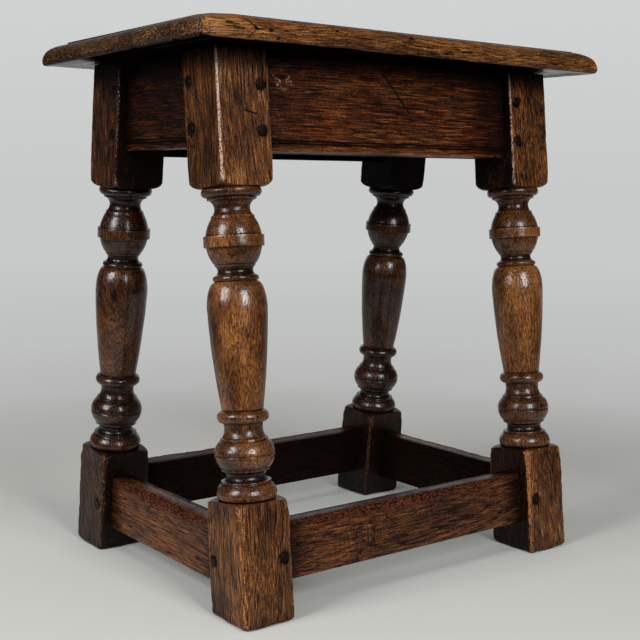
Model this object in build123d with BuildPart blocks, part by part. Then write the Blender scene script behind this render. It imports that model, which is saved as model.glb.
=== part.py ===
from build123d import *

import os
from math import cos, radians, sin, sqrt, tan

# Joined oak stool: a moulded seat board on four raked, turned legs, framed by four aprons
# and four stretchers. Every rail is tenoned into its legs and each joint is held by pegs.
# X runs along the seat, Y across it and Z up. The origin is on the floor, under the middle
# of the seat. "Front" is the long side at -Y and "left" the short side at -X.

# ---- Seat board ----
stool_height = 483.0
seat_length = 457.0
seat_width = 282.0
seat_thickness = 21.5
thumbnail_width = 19.3      # moulded edge, from the rim to the raised field
field_step = 1.9            # small step up to the field
rim_height = 4.6            # where the thumbnail's curve starts, above the underside
rim_round = 2.4             # worn lower arris

# ---- Legs ----
leg_square = 51.0
rake_angle = 5.64           # the legs lean out towards the floor, front and back only
end_overhang = 35.7         # seat beyond the legs' faces at its short ends
side_overhang = 37.8        # seat beyond the legs' faces along its long sides
head_block = 112.5          # square part left at the top, which takes the aprons
foot_block = 97.5           # square part left at the bottom, which takes the stretchers
head_pommel = 9.5           # height of the rounding where each block meets the turning
foot_pommel = 8.5
lathe_swing = 40.0          # radius that clears the corners of the square stock

# ---- Turning, named from the head down (heights along the leg, radii from its axis) ----
fillet_height = 2.3
cap_bead_height = 7.6
cap_bead_radius = 25.1
cap_bead_root = 22.4
cap_fillet_radius = 20.6
upper_cove_height = 12.9
upper_cove_rim = 19.4
upper_cove_throat = 14.8
upper_cove_foot = 17.4
ball_fillet_radius = 18.1
ball_height = 36.8
ball_top_radius = 18.4
ball_radius = 23.5
ball_foot_radius = 17.6
band_height = 9.3
band_radius = 25.2
band_round = 1.0
collar_fillet_height = 1.6
collar_fillet_radius = 16.9
collar_cove_height = 7.7
collar_cove_throat = 14.7
collar_height = 4.9
collar_root = 17.2
collar_radius = 19.2
vase_top_radius = 17.5
vase_shoulder_height = 22.8
vase_radius = 25.1
vase_waist_radius = 22.3
vase_foot_radius = 17.2
ring_height = 9.6
ring_root = 18.3
ring_radius = 21.5
neck_height = 12.5
neck_top_radius = 16.7
neck_radius = 16.0
neck_foot_radius = 18.3
neck_fillet_radius = 19.7
bulb_height = 21.9
bulb_radius = 25.0
bulb_root = 20.5
bulb_line_width = 1.2       # line cut with the skew's point round the bulb
bulb_line_depth = 0.7
bulb_fillet_radius = 20.2
lower_cove_height = 8.4
lower_cove_rim = 18.6
lower_cove_throat = 16.4
base_fillet_radius = 20.7
base_bead_height = 12.0
base_bead_crest = 0.35      # where the bead is widest, as a part of its height
base_bead_top = 21.0
base_bead_radius = 25.1
base_bead_foot = 23.9
base_quirk_height = 1.2
base_quirk_radius = 22.8

# ---- Aprons and stretchers ----
long_apron_height = 84.0
long_apron_thickness = 18.0
long_apron_inset = 9.2      # rail face behind the leg's face
short_apron_height = 79.5
short_apron_thickness = 18.0
short_apron_inset = 9.5
long_stretcher_height = 48.0
long_stretcher_thickness = 21.3
long_stretcher_inset = 11.5
long_stretcher_rise = 27.0  # lower edge above the floor
short_stretcher_height = 50.0
short_stretcher_thickness = 21.3
short_stretcher_inset = 10.5
short_stretcher_rise = 21.6
groove_width = 1.3          # two scratched lines along each apron's lower edge
groove_depth = 0.9
groove_rise = 6.6           # lower line above the apron's lower edge
groove_spacing = 2.6

# ---- Joints ----
tenon_thickness = 8.0
tenon_set_back = 5.0        # tenon cheek behind the rail's outer face
apron_tenon_cut_top = 12.0  # shoulder above an apron's tenon, which keeps the leg head whole
apron_tenon_cut_bottom = 6.0
stretcher_tenon_cut = 5.0
tenon_gap = 1.0             # between the two tenons that meet inside a leg
mortise_depth_gap = 0.5     # empty space past the end of a tenon
joint_clearance = 0.1       # each side of a tenon in its mortise
peg_radius = 3.7
peg_taper = 0.6             # degrees each side, towards the driven end
peg_clearance = 0.05
peg_edge_distance = 9.0     # peg axis in from the leg's edge beside the rail
peg_length = 35.0
peg_proud = 0.5
apron_lower_peg_rise = 16.0  # above an apron's lower edge
apron_peg_spacing = 37.5
seat_peg_offset = 6.5       # from the leg's axis towards the middle, clear of the tenons
seat_peg_radius = 4.0
seat_peg_depth = 26.0       # below the seat, into the leg
seat_peg_sunk = 0.3         # worn a little below the seat's surface

# ---- Places worked out from the sizes above ----
underside = stool_height - seat_thickness
half_square = leg_square / 2
corner_radius = half_square * sqrt(2)
rake_sin = sin(radians(rake_angle))
rake_cos = cos(radians(rake_angle))
rake_tan = tan(radians(rake_angle))
leg_length = underside / rake_cos
leg_x = seat_length / 2 - end_overhang - half_square
leg_head_y = seat_width / 2 - side_overhang - half_square / rake_cos
leg_foot_y = leg_head_y + underside * rake_tan
turning_top = leg_length - head_block
peg_from_axis = half_square - peg_edge_distance
seat_peg_x = leg_x - seat_peg_offset
seat_peg_y = leg_head_y - seat_peg_offset

# The front legs and the long rails between them are upright in a frame that leans with the
# rake. On these planes up runs along the leg, and heights start at the middle of the feet.
up_leg = Vector(0, rake_sin, rake_cos)
into_stool = Vector(0, rake_cos, -rake_sin)
foot_line = Vector(0, -leg_foot_y, 0)
leg_foot = foot_line - Vector(leg_x, 0, 0)
leg_axis = Axis(leg_foot, up_leg)
stock_plane = Plane(leg_foot, x_dir=Vector(1, 0, 0), z_dir=up_leg)
lathe_plane = Plane(leg_foot, x_dir=Vector(1, 0, 0), z_dir=-into_stool)
front_face = Plane(leg_foot - into_stool * half_square, Vector(1, 0, 0), -into_stool)
left_face = Plane(leg_foot - Vector(half_square, 0, 0), -into_stool, Vector(-1, 0, 0))
long_rail_plane = Plane(foot_line, into_stool, Vector(1, 0, 0))
long_shoulder = leg_x - half_square

# Lower and upper edges of the rails and their tenons: heights along the leg for the long
# rails, and above the floor for the short ones, which stand upright.
long_apron_bottom = leg_length - long_apron_height
long_stretcher_bottom = long_stretcher_rise / rake_cos
long_stretcher_top = long_stretcher_bottom + long_stretcher_height
short_apron_bottom = underside - short_apron_height
short_stretcher_top = short_stretcher_rise + short_stretcher_height

# Lower and upper edges of the tenons, which are narrower than their rails.
long_apron_tenon = (
    long_apron_bottom + apron_tenon_cut_bottom,
    leg_length - apron_tenon_cut_top,
)
long_stretcher_tenon = (
    long_stretcher_bottom + stretcher_tenon_cut,
    long_stretcher_top - stretcher_tenon_cut,
)
short_apron_tenon = (
    short_apron_bottom + apron_tenon_cut_bottom,
    underside - apron_tenon_cut_top,
)
short_stretcher_tenon = (
    short_stretcher_rise + stretcher_tenon_cut,
    short_stretcher_top - stretcher_tenon_cut,
)


def inner_face_y(height):
    """Distance from the stool's middle to a leg's inner face, at a height above the floor."""
    return leg_foot_y - height * rake_tan - half_square / rake_cos


def tenon_length(neighbour_inset):
    """Length that stops a tenon short of the other tenon in its leg."""
    neighbour_cheek = neighbour_inset + tenon_set_back + tenon_thickness
    return leg_square - neighbour_cheek - tenon_gap


def rectangle_between(low_x, low_y, high_x, high_y):
    """Rectangle from its lower left to its upper right corner."""
    with Locations(((low_x + high_x) / 2, (low_y + high_y) / 2)):
        Rectangle(high_x - low_x, high_y - low_y)


def long_section(inset, thickness, bottom, top):
    """Cross-section of a long rail, or of its tenon, behind the legs' front face."""
    outer = inset - half_square
    with BuildSketch(long_rail_plane) as section:
        rectangle_between(outer, bottom, outer + thickness, top)
    return section.sketch


def short_outline(inset, bottom, top, reach=0.0):
    """Side view of a left rail from its front shoulder to its middle; reach adds the tenon."""
    low = inner_face_y(bottom) + reach / rake_cos
    high = inner_face_y(top) + reach / rake_cos
    with BuildSketch(Plane.YZ.offset(inset - half_square - leg_x)) as outline:
        with BuildLine():
            Polyline((-low, bottom), (0, bottom), (0, top), (-high, top), close=True)
        make_face()
    return outline.sketch


def peg_circles(face, across, heights, radius):
    """Circles for the pegs of one joint, on a leg's outer face."""
    with BuildSketch(face) as circles:
        with Locations(*[(across, height) for height in heights]):
            Circle(radius)
    return circles.sketch


def bore_peg_holes(face, across, heights):
    """Bore for the pegs of one joint, in from a leg's outer face."""
    holes = peg_circles(face, across, heights, peg_radius + peg_clearance)
    extrude(holes, amount=-peg_length, mode=Mode.SUBTRACT)


def drive_pegs(face, across, heights):
    """Tapered pegs of one joint, which stand a little proud of a leg's outer face."""
    heads = peg_circles(face.offset(peg_proud), across, heights, peg_radius)
    extrude(heads, amount=-(peg_proud + peg_length - mortise_depth_gap), taper=peg_taper)


# Heights of the pegs along the leg, for each kind of joint.
long_apron_pegs = [
    long_apron_bottom + apron_lower_peg_rise + step * apron_peg_spacing for step in range(2)
]
short_apron_pegs = [
    short_apron_bottom / rake_cos + apron_lower_peg_rise + step * apron_peg_spacing
    for step in range(2)
]
long_stretcher_pegs = [(long_stretcher_bottom + long_stretcher_top) / 2]
short_stretcher_pegs = [(short_stretcher_rise + short_stretcher_top) / 2 / rake_cos]


# ---- Leg ----
class LatheLine:
    """Draws a leg's outline up from the floor, one moulding after another."""

    def __init__(self, radius, height):
        self.radius = radius
        self.height = height

    def line_to(self, radius, height):
        Line((self.radius, self.height), (radius, height))
        self.radius = radius
        self.height = height

    def step(self, radius):
        """Square step in or out."""
        if radius != self.radius:
            self.line_to(radius, self.height)

    def band(self, radius, rise):
        """Straight-sided band."""
        self.step(radius)
        self.line_to(radius, self.height + rise)

    def curve(self, start, crest, end, rise, crest_at=0.5):
        """Bead or hollow: from start to end radius, through the crest part of the way up."""
        self.step(start)
        ThreePointArc(
            (start, self.height),
            (crest, self.height + rise * crest_at),
            (end, self.height + rise),
        )
        self.radius = end
        self.height += rise

    def quarter_round(self, low, high, rise, centre_low):
        """Quarter ellipse between two radii, with its centre at the lower or upper end."""
        self.step(low)
        centre_height = self.height if centre_low else self.height + rise
        start_angle = 0 if centre_low else -90
        EllipticalCenterArc(
            (min(low, high), centre_height), abs(low - high), rise, start_angle, arc_size=90
        )
        self.radius = high
        self.height += rise



def turned_outline():
    """Half outline of a leg, and the heights of the middles of its ball and its bulb."""
    above_vase = collar_height + collar_cove_height + collar_fillet_height
    above_vase += ball_height + fillet_height
    above_vase += upper_cove_height + fillet_height + cap_bead_height
    with BuildSketch(lathe_plane) as outline:
        with BuildLine():
            pen = LatheLine(0, -lathe_swing)
            pen.band(lathe_swing, foot_block - foot_pommel + lathe_swing)
            pen.quarter_round(corner_radius, base_bead_radius, foot_pommel, centre_low=True)
            pen.band(base_quirk_radius, base_quirk_height)
            pen.curve(
                base_bead_foot, base_bead_radius, base_bead_top, base_bead_height, base_bead_crest
            )
            pen.band(base_fillet_radius, fillet_height)
            pen.curve(lower_cove_rim, lower_cove_throat, lower_cove_rim, lower_cove_height)
            pen.band(bulb_fillet_radius, fillet_height)
            bulb_middle = pen.height + bulb_height / 2
            pen.curve(bulb_root, bulb_radius, bulb_root, bulb_height)
            pen.band(neck_fillet_radius, fillet_height)
            pen.curve(neck_foot_radius, neck_radius, neck_top_radius, neck_height)
            pen.curve(ring_root, ring_radius, ring_root, ring_height)
            vase_height = turning_top - above_vase - pen.height
            taper = vase_height - vase_shoulder_height
            pen.curve(vase_foot_radius, vase_waist_radius, vase_radius, taper)
            pen.quarter_round(vase_radius, vase_top_radius, vase_shoulder_height, centre_low=True)
            pen.curve(collar_root, collar_radius, collar_root, collar_height)
            pen.curve(collar_root, collar_cove_throat, collar_fillet_radius, collar_cove_height)
            pen.band(collar_fillet_radius, collar_fillet_height)
            ball_middle = pen.height + ball_height / 2
            pen.curve(ball_foot_radius, ball_radius, ball_top_radius, ball_height)
            pen.band(ball_fillet_radius, fillet_height)
            pen.curve(upper_cove_foot, upper_cove_throat, upper_cove_rim, upper_cove_height)
            pen.band(cap_fillet_radius, fillet_height)
            pen.curve(cap_bead_root, cap_bead_radius, cap_bead_root, cap_bead_height)
            pen.quarter_round(cap_bead_radius, corner_radius, head_pommel, centre_low=False)
            pen.band(lathe_swing, leg_length + lathe_swing - pen.height)
            pen.step(0)
            pen.line_to(0, -lathe_swing)
        make_face()
    return outline.sketch, ball_middle, bulb_middle


def level_ends():
    """Saw the piece off level at the floor and under the seat."""
    split(bisect_by=Plane.XY, keep=Keep.TOP)
    split(bisect_by=Plane.XY.offset(underside), keep=Keep.BOTTOM)


def cut_long_mortise(inset, tenon, neighbour_inset):
    """Mortise in the front left leg for a front rail."""
    bottom, top = tenon
    mortise = long_section(
        inset + tenon_set_back - joint_clearance,
        tenon_thickness + 2 * joint_clearance,
        bottom - joint_clearance,
        top + joint_clearance,
    )
    depth = tenon_length(neighbour_inset) + mortise_depth_gap
    extrude(mortise, amount=-(long_shoulder + depth), mode=Mode.SUBTRACT)


def cut_short_mortise(inset, tenon, neighbour_inset):
    """Mortise in the front left leg for a left rail."""
    bottom, top = tenon
    mortise = short_outline(
        inset + tenon_set_back - joint_clearance,
        bottom - joint_clearance,
        top + joint_clearance,
        tenon_length(neighbour_inset) + mortise_depth_gap,
    )
    extrude(mortise, amount=tenon_thickness + 2 * joint_clearance, mode=Mode.SUBTRACT)


with BuildPart() as leg_front_left:
    outline, ball_middle, bulb_middle = turned_outline()
    revolve(outline, axis=leg_axis)
    # A raised band runs round the ball, with its edges eased.
    with BuildSketch(lathe_plane) as band_section:
        half_band = band_height / 2
        rectangle_between(0, ball_middle - half_band, band_radius, ball_middle + half_band)
        fillet(band_section.vertices().group_by(Axis.X)[-1], band_round)
    revolve(axis=leg_axis)
    # A line is cut round the bulb.
    with BuildSketch(lathe_plane):
        half_line = bulb_line_width / 2
        line_root = bulb_radius - bulb_line_depth
        rectangle_between(line_root, bulb_middle - half_line, lathe_swing, bulb_middle + half_line)
    revolve(axis=leg_axis, mode=Mode.SUBTRACT)
    # The blocks stay as square as the stock.
    with BuildSketch(stock_plane.offset(-lathe_swing)):
        Rectangle(leg_square, leg_square)
    extrude(amount=leg_length + 2 * lathe_swing, mode=Mode.INTERSECT)
    level_ends()
    cut_long_mortise(long_apron_inset, long_apron_tenon, short_apron_inset)
    cut_long_mortise(long_stretcher_inset, long_stretcher_tenon, short_stretcher_inset)
    cut_short_mortise(short_apron_inset, short_apron_tenon, long_apron_inset)
    cut_short_mortise(short_stretcher_inset, short_stretcher_tenon, long_stretcher_inset)
    bore_peg_holes(front_face, peg_from_axis, long_apron_pegs + long_stretcher_pegs)
    bore_peg_holes(left_face, -peg_from_axis, short_apron_pegs + short_stretcher_pegs)
    with BuildSketch(Plane.XY.offset(underside)):
        with Locations((-seat_peg_x, -seat_peg_y)):
            Circle(seat_peg_radius + peg_clearance)
    extrude(amount=-(seat_peg_depth + mortise_depth_gap), mode=Mode.SUBTRACT)


# ---- Seat board: the thumbnail runs round all four edges and mitres at the corners ----
def moulded_section(plane, width):
    """Section of the board across two opposite edges, standing on the underside."""
    rim = width / 2
    field = rim - thumbnail_width
    curve_height = seat_thickness - field_step - rim_height
    with BuildSketch(plane) as section:
        with BuildLine():
            Polyline((0, 0), (0, seat_thickness), (field, seat_thickness))
            Line((field, seat_thickness), (field, rim_height + curve_height))
            EllipticalCenterArc((field, rim_height), thumbnail_width, curve_height, arc_size=90)
            Line((rim, rim_height), (rim, rim_round))
            CenterArc((rim - rim_round, rim_round), rim_round, 0, -90)
            Line((rim - rim_round, 0), (0, 0))
        make_face()
        mirror(about=Plane.YZ)
    return section.sketch


seat_across = Plane(Vector(0, 0, underside), x_dir=Vector(1, 0, 0), z_dir=Vector(0, -1, 0))
seat_along = Plane(Vector(0, 0, underside), x_dir=Vector(0, 1, 0), z_dir=Vector(1, 0, 0))

with BuildPart() as seat_board:
    extrude(moulded_section(seat_across, seat_length), amount=seat_width, both=True)
    across_section = moulded_section(seat_along, seat_width)
    extrude(across_section, amount=seat_length, both=True, mode=Mode.INTERSECT)
    with BuildSketch(Plane.XY.offset(underside)):
        with GridLocations(2 * seat_peg_x, 2 * seat_peg_y, 2, 2):
            Circle(seat_peg_radius + peg_clearance)
    extrude(amount=seat_thickness, mode=Mode.SUBTRACT)


# ---- Aprons and stretchers: each is half a rail with its tenon, mirrored at the middle ----
def long_grooves(inset, bottom):
    """Sections of the two scratched lines on a long rail's outer face."""
    outer = inset - half_square
    with BuildSketch(long_rail_plane) as grooves:
        with Locations((outer, bottom + groove_rise), (outer, bottom + groove_rise + groove_spacing)):
            Rectangle(2 * groove_depth, groove_width)
    return grooves.sketch


with BuildPart() as apron_front:
    # The board is drawn past the seat and then planed level with the leg tops.
    board_top = leg_length + leg_square * rake_tan
    board = long_section(long_apron_inset, long_apron_thickness, long_apron_bottom, board_top)
    extrude(board, amount=-long_shoulder)
    tenon = long_section(long_apron_inset + tenon_set_back, tenon_thickness, *long_apron_tenon)
    extrude(tenon, amount=-(long_shoulder + tenon_length(short_apron_inset)))
    grooves = long_grooves(long_apron_inset, long_apron_bottom)
    extrude(grooves, amount=-long_shoulder, mode=Mode.SUBTRACT)
    level_ends()
    bore_peg_holes(front_face, peg_from_axis, long_apron_pegs)
    mirror(about=Plane.YZ)

with BuildPart() as stretcher_front:
    board = long_section(
        long_stretcher_inset, long_stretcher_thickness, long_stretcher_bottom, long_stretcher_top
    )
    extrude(board, amount=-long_shoulder)
    tenon = long_section(
        long_stretcher_inset + tenon_set_back, tenon_thickness, *long_stretcher_tenon
    )
    extrude(tenon, amount=-(long_shoulder + tenon_length(short_stretcher_inset)))
    bore_peg_holes(front_face, peg_from_axis, long_stretcher_pegs)
    mirror(about=Plane.YZ)

with BuildPart() as apron_left:
    extrude(short_outline(short_apron_inset, short_apron_bottom, underside), short_apron_thickness)
    reach = tenon_length(long_apron_inset)
    tenon = short_outline(short_apron_inset + tenon_set_back, *short_apron_tenon, reach)
    extrude(tenon, tenon_thickness)
    for line in range(2):
        rise = short_apron_bottom + groove_rise + line * groove_spacing
        groove = short_outline(short_apron_inset, rise - groove_width / 2, rise + groove_width / 2)
        extrude(groove, groove_depth, mode=Mode.SUBTRACT)
    bore_peg_holes(left_face, -peg_from_axis, short_apron_pegs)
    mirror(about=Plane.XZ)

with BuildPart() as stretcher_left:
    board = short_outline(short_stretcher_inset, short_stretcher_rise, short_stretcher_top)
    extrude(board, short_stretcher_thickness)
    reach = tenon_length(long_stretcher_inset)
    tenon = short_outline(short_stretcher_inset + tenon_set_back, *short_stretcher_tenon, reach)
    extrude(tenon, tenon_thickness)
    bore_peg_holes(left_face, -peg_from_axis, short_stretcher_pegs)
    mirror(about=Plane.XZ)

# ---- Pegs ----
with BuildPart() as apron_pegs_front_left:
    drive_pegs(front_face, peg_from_axis, long_apron_pegs)
    drive_pegs(left_face, -peg_from_axis, short_apron_pegs)

with BuildPart() as stretcher_pegs_front_left:
    drive_pegs(front_face, peg_from_axis, long_stretcher_pegs)
    drive_pegs(left_face, -peg_from_axis, short_stretcher_pegs)

with BuildPart() as seat_pegs:
    with BuildSketch(Plane.XY.offset(stool_height - seat_peg_sunk)):
        with GridLocations(2 * seat_peg_x, 2 * seat_peg_y, 2, 2):
            Circle(seat_peg_radius)
    extrude(amount=-(seat_thickness - seat_peg_sunk + seat_peg_depth), taper=peg_taper)

# ---- The other pieces are mirror copies of these ----
with BuildPart() as leg_front_right:
    mirror(leg_front_left.part, about=Plane.YZ)
with BuildPart() as leg_back_left:
    mirror(leg_front_left.part, about=Plane.XZ)
with BuildPart() as leg_back_right:
    mirror(leg_front_right.part, about=Plane.XZ)
with BuildPart() as apron_back:
    mirror(apron_front.part, about=Plane.XZ)
with BuildPart() as apron_right:
    mirror(apron_left.part, about=Plane.YZ)
with BuildPart() as stretcher_back:
    mirror(stretcher_front.part, about=Plane.XZ)
with BuildPart() as stretcher_right:
    mirror(stretcher_left.part, about=Plane.YZ)
with BuildPart() as apron_pegs_front_right:
    mirror(apron_pegs_front_left.part, about=Plane.YZ)
with BuildPart() as apron_pegs_back_left:
    mirror(apron_pegs_front_left.part, about=Plane.XZ)
with BuildPart() as apron_pegs_back_right:
    mirror(apron_pegs_front_right.part, about=Plane.XZ)
with BuildPart() as stretcher_pegs_front_right:
    mirror(stretcher_pegs_front_left.part, about=Plane.YZ)
with BuildPart() as stretcher_pegs_back_left:
    mirror(stretcher_pegs_front_left.part, about=Plane.XZ)
with BuildPart() as stretcher_pegs_back_right:
    mirror(stretcher_pegs_front_right.part, about=Plane.XZ)

pieces = {
    "seat_board": seat_board,
    "seat_pegs": seat_pegs,
    "leg_front_left": leg_front_left,
    "leg_front_right": leg_front_right,
    "leg_back_left": leg_back_left,
    "leg_back_right": leg_back_right,
    "apron_front": apron_front,
    "apron_back": apron_back,
    "apron_left": apron_left,
    "apron_right": apron_right,
    "stretcher_front": stretcher_front,
    "stretcher_back": stretcher_back,
    "stretcher_left": stretcher_left,
    "stretcher_right": stretcher_right,
    "apron_pegs_front_left": apron_pegs_front_left,
    "apron_pegs_front_right": apron_pegs_front_right,
    "apron_pegs_back_left": apron_pegs_back_left,
    "apron_pegs_back_right": apron_pegs_back_right,
    "stretcher_pegs_front_left": stretcher_pegs_front_left,
    "stretcher_pegs_front_right": stretcher_pegs_front_right,
    "stretcher_pegs_back_left": stretcher_pegs_back_left,
    "stretcher_pegs_back_right": stretcher_pegs_back_right,
}

os.makedirs("parts", exist_ok=True)
for name, piece in pieces.items():
    piece.part.label = name
    export_step(piece.part, f"parts/{name}.step")
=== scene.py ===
import math
import random

import bmesh
import bpy
from mathutils import Matrix, Vector, noise


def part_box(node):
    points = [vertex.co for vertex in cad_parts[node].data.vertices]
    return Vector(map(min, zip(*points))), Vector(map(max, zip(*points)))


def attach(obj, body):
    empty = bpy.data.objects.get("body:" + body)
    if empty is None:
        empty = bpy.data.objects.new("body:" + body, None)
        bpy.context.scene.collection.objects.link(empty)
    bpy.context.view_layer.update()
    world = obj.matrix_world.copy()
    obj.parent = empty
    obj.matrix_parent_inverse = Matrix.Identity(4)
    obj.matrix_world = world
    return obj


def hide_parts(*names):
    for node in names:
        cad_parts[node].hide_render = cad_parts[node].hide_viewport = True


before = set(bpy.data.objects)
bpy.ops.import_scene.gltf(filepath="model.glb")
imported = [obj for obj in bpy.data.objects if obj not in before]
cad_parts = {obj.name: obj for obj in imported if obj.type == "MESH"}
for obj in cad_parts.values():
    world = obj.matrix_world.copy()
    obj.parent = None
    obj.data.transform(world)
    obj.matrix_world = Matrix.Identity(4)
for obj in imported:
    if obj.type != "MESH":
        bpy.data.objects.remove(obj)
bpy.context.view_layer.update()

bl_info = {
    "name": "Joined Oak Stool",
    "version": (1, 0, 0),
    "blender": (4, 5, 0),
    "location": "View3D > Sidebar > Joined Stool",
    "description": "Models an old joined oak stool, piece by piece, with its worn and waxed finish",
    "category": "Add Mesh",
}

# X runs along the seat, Y across it and Z up, in metres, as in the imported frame.
MM = 0.001
SEAT_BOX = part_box("seat_board")
# Legs by their sides along X and Y, and rails by whether they run along X and their side.
LEG_NAMES = {
    (-1, -1): "front_left", (1, -1): "front_right", (-1, 1): "back_left", (1, 1): "back_right"
}
SIDE_NAMES = {(True, -1): "front", (True, 1): "back", (False, -1): "left", (False, 1): "right"}

# The turning, from the foot block up. Each moulding has a name, its radius at the foot, at the
# crest and at the top, its height, in millimetres, and how dark its varnish is. "quarter"
# mouldings are quarter ellipses.
TURNING = (
    ("foot pommel quarter", 36.06, 0.0, 25.1, 8.5, 0.12),
    ("quirk", 22.8, 22.8, 22.8, 1.2, 0.40),
    ("base bead", 23.9, 25.1, 21.0, 12.0, 0.13),
    ("fillet", 20.7, 20.7, 20.7, 2.3, 0.20),
    ("lower cove", 18.6, 16.4, 18.6, 8.4, 0.30),
    ("fillet", 20.2, 20.2, 20.2, 2.3, 0.20),
    ("bulb", 20.5, 25.0, 20.5, 21.9, 0.15),
    ("fillet", 19.7, 19.7, 19.7, 2.3, 0.14),
    ("neck", 18.3, 16.0, 16.7, 12.5, 0.10),
    ("ring", 18.3, 21.5, 18.3, 9.6, 0.14),
    ("vase", 17.2, 22.3, 25.1, 82.35, -0.02),
    ("shoulder quarter", 25.1, 0.0, 17.5, 22.8, 0.0),
    ("collar", 17.2, 19.2, 17.2, 4.9, 0.22),
    ("collar cove", 17.2, 14.7, 16.9, 7.7, 0.26),
    ("fillet", 16.9, 16.9, 16.9, 1.6, 0.12),
    ("ball", 17.6, 23.5, 18.4, 36.8, 0.18),
    ("fillet", 18.1, 18.1, 18.1, 2.3, 0.12),
    ("upper cove", 17.4, 14.8, 19.4, 12.9, 0.25),
    ("fillet", 20.6, 20.6, 20.6, 2.3, 0.22),
    ("cap bead", 22.4, 25.1, 22.4, 7.6, 0.27),
    ("head pommel quarter", 25.1, 0.0, 36.06, 9.5, 0.10),
)

# Paler and darker patches of a leg's turning, partly painted light on the side that faces the
# camera and painted shade on its flanks: height in millimetres, turn about the leg's axis in
# degrees, reach in millimetres, and how much paler.
LEG_PATCHES_AND_SHADING = {
    (-1, -1): (
        (234.0, -145.0, 15.0, 0.12), (224.0, -118.0, 34.0, 0.29), (209.0, -142.0, 9.0, -0.12),
        (226.0, -68.0, 32.0, -0.26), (222.0, -178.0, 34.0, -0.24), (331.0, -150.0, 13.0, -0.06),
        (292.0, -124.0, 26.0, -0.12),
    ),
    (1, -1): ((245.0, -128.0, 40.0, 0.05), (205.0, -70.0, 26.0, -0.08)),
    (-1, 1): ((240.0, -150.0, 30.0, -0.06), (250.0, -134.0, 5.0, -0.40)),
    (1, 1): ((230.0, -125.0, 30.0, -0.08), (239.0, -129.0, 5.0, -0.45)),
}
# How pale each leg is, how bare its head's worn corner is, which also paints a highlight on that
# corner, and how bare the feet's corners are.
LEG_TONES = {(-1, -1): 0.05, (1, -1): 0.0, (-1, 1): -0.19, (1, 1): -0.30}
HEAD_RUBBED_AND_HIGHLIGHT = {(-1, -1): 0.88, (1, -1): 0.74, (-1, 1): 0.40, (1, 1): 0.3}
FOOT_RUBBED = {-1: 0.30, 1: 0.24}
# Arris of a block's inner, side and outer corners, as a share of its full size.
ARRIS_SHARES = (0.75, 0.9, 1.0)
KNOCKS = 26
# The most wear and the most grime and painted shade on a leg and on a board, and how far a rail's
# piece enters the legs.
LEG_MOST, BOARD_MOST = 1.3, 1.2
RAIL_EMBED = 0.6 * MM

# The same for the front apron: place along it, depth below its top, reach, and how much paler.
APRON_PATCHES = (
    (-66.0, 50.0, 20.0, 0.10), (-48.0, 56.0, 12.0, 0.06), (-18.0, 38.0, 8.0, -0.14),
    (60.0, 30.0, 30.0, -0.06),
)

# Cracks, scratches, streaks and pin knots on a face: start along it and up it, end along it and up
# it, and width, in millimetres. On the seat they count down from its top.
LEG_MARKS = ((-167.0, 411.6, -156.0, 408.9, 1.3),)
APRON_MARKS = ((-11.0, 451.0, 20.0, 416.0, 1.5), (-22.0, 423.0, -14.0, 424.0, 1.6))
STRETCHER_MARKS = (
    (-30.0, 62.0, -19.0, 54.0, 0.8), (-19.0, 54.0, -22.0, 47.0, 0.7), (-4.0, 58.0, 6.0, 60.0, 0.7),
    (24.0, 60.0, 26.0, 52.0, 0.8), (26.0, 52.0, 33.0, 50.0, 0.6), (-36.0, 40.0, -18.0, 44.0, 0.7),
)
SEAT_FRONT_MARKS = (
    (-183.9, -5.4, -177.9, -12.3, 1.1), (-177.9, -12.3, -186.3, -19.5, 1.0),
    (-178.8, -11.0, -177.6, -12.6, 2.4), (-206.6, -12.2, -188.8, -12.6, 0.9),
    (-204.0, -9.5, -199.0, -9.1, 1.3), (-201.0, -9.3, -193.0, -9.9, 0.8),
    (-165.5, -13.2, -164.0, -12.6, 2.2), (-158.5, -18.7, -157.5, -18.2, 1.8),
    (-97.0, -7.6, -95.0, -7.3, 1.6), (-15.0, -7.1, -12.5, -6.8, 1.5),
    (60.0, -12.0, 84.0, -11.4, 0.6), (-120.0, -15.0, -88.0, -14.2, 0.6),
    (140.0, -9.0, 158.0, -9.8, 0.6),
)
SEAT_END_MARKS = (
    (23.4, -7.2, 31.0, -15.0, 0.9), (20.0, -5.0, 23.4, -7.2, 0.8), (-10.7, -7.0, -5.0, -14.0, 0.8),
    (-70.0, -8.0, -67.5, -15.0, 0.6), (70.0, -9.0, 73.0, -16.0, 0.6),
)
# Medullary rays on the front stretcher: middle and reach, in millimetres.
STRETCHER_RAYS = (((-66.0, -130.0, 46.0), 26.0), ((-42.0, -130.0, 56.0), 22.0))

# The camera and the lamps, in metres and degrees. A lamp has a turn from behind the camera, a
# rise, and a width and height.
CAMERA_PLACE = (-0.6812, -0.8520, 0.3524)
CAMERA_YAW, CAMERA_PITCH, CAMERA_ROLL = 54.118, -5.327, 0.359
CAMERA_LENS, CAMERA_SHIFT = 63.29, (0.0803, -0.0478)
LAMPS = {"key": (-50.0, 27.0, 0.75, 1.0), "fill": (29.0, 23.0, 0.68, 0.95)}
LAMP_REACH, LAMP_TARGET = 2.0, Vector((0.0, 0.0, 0.25))
FLOOR_RADIUS = 9.0


def size(name, description, value, **more):
    """A length that a user may change, in metres."""
    return bpy.props.FloatProperty(
        name=name, description=description, default=value, unit="LENGTH", subtype="DISTANCE",
        precision=5, **more
    )


def colour(name, description, value):
    """A colour that a user may change."""
    return bpy.props.FloatVectorProperty(
        name=name, description=description, default=value, size=3, subtype="COLOR", min=0.0, max=1.0
    )


def strength(name, description, value):
    """A light's strength that a user may change."""
    return bpy.props.FloatProperty(name=name, description=description, default=value)


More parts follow.
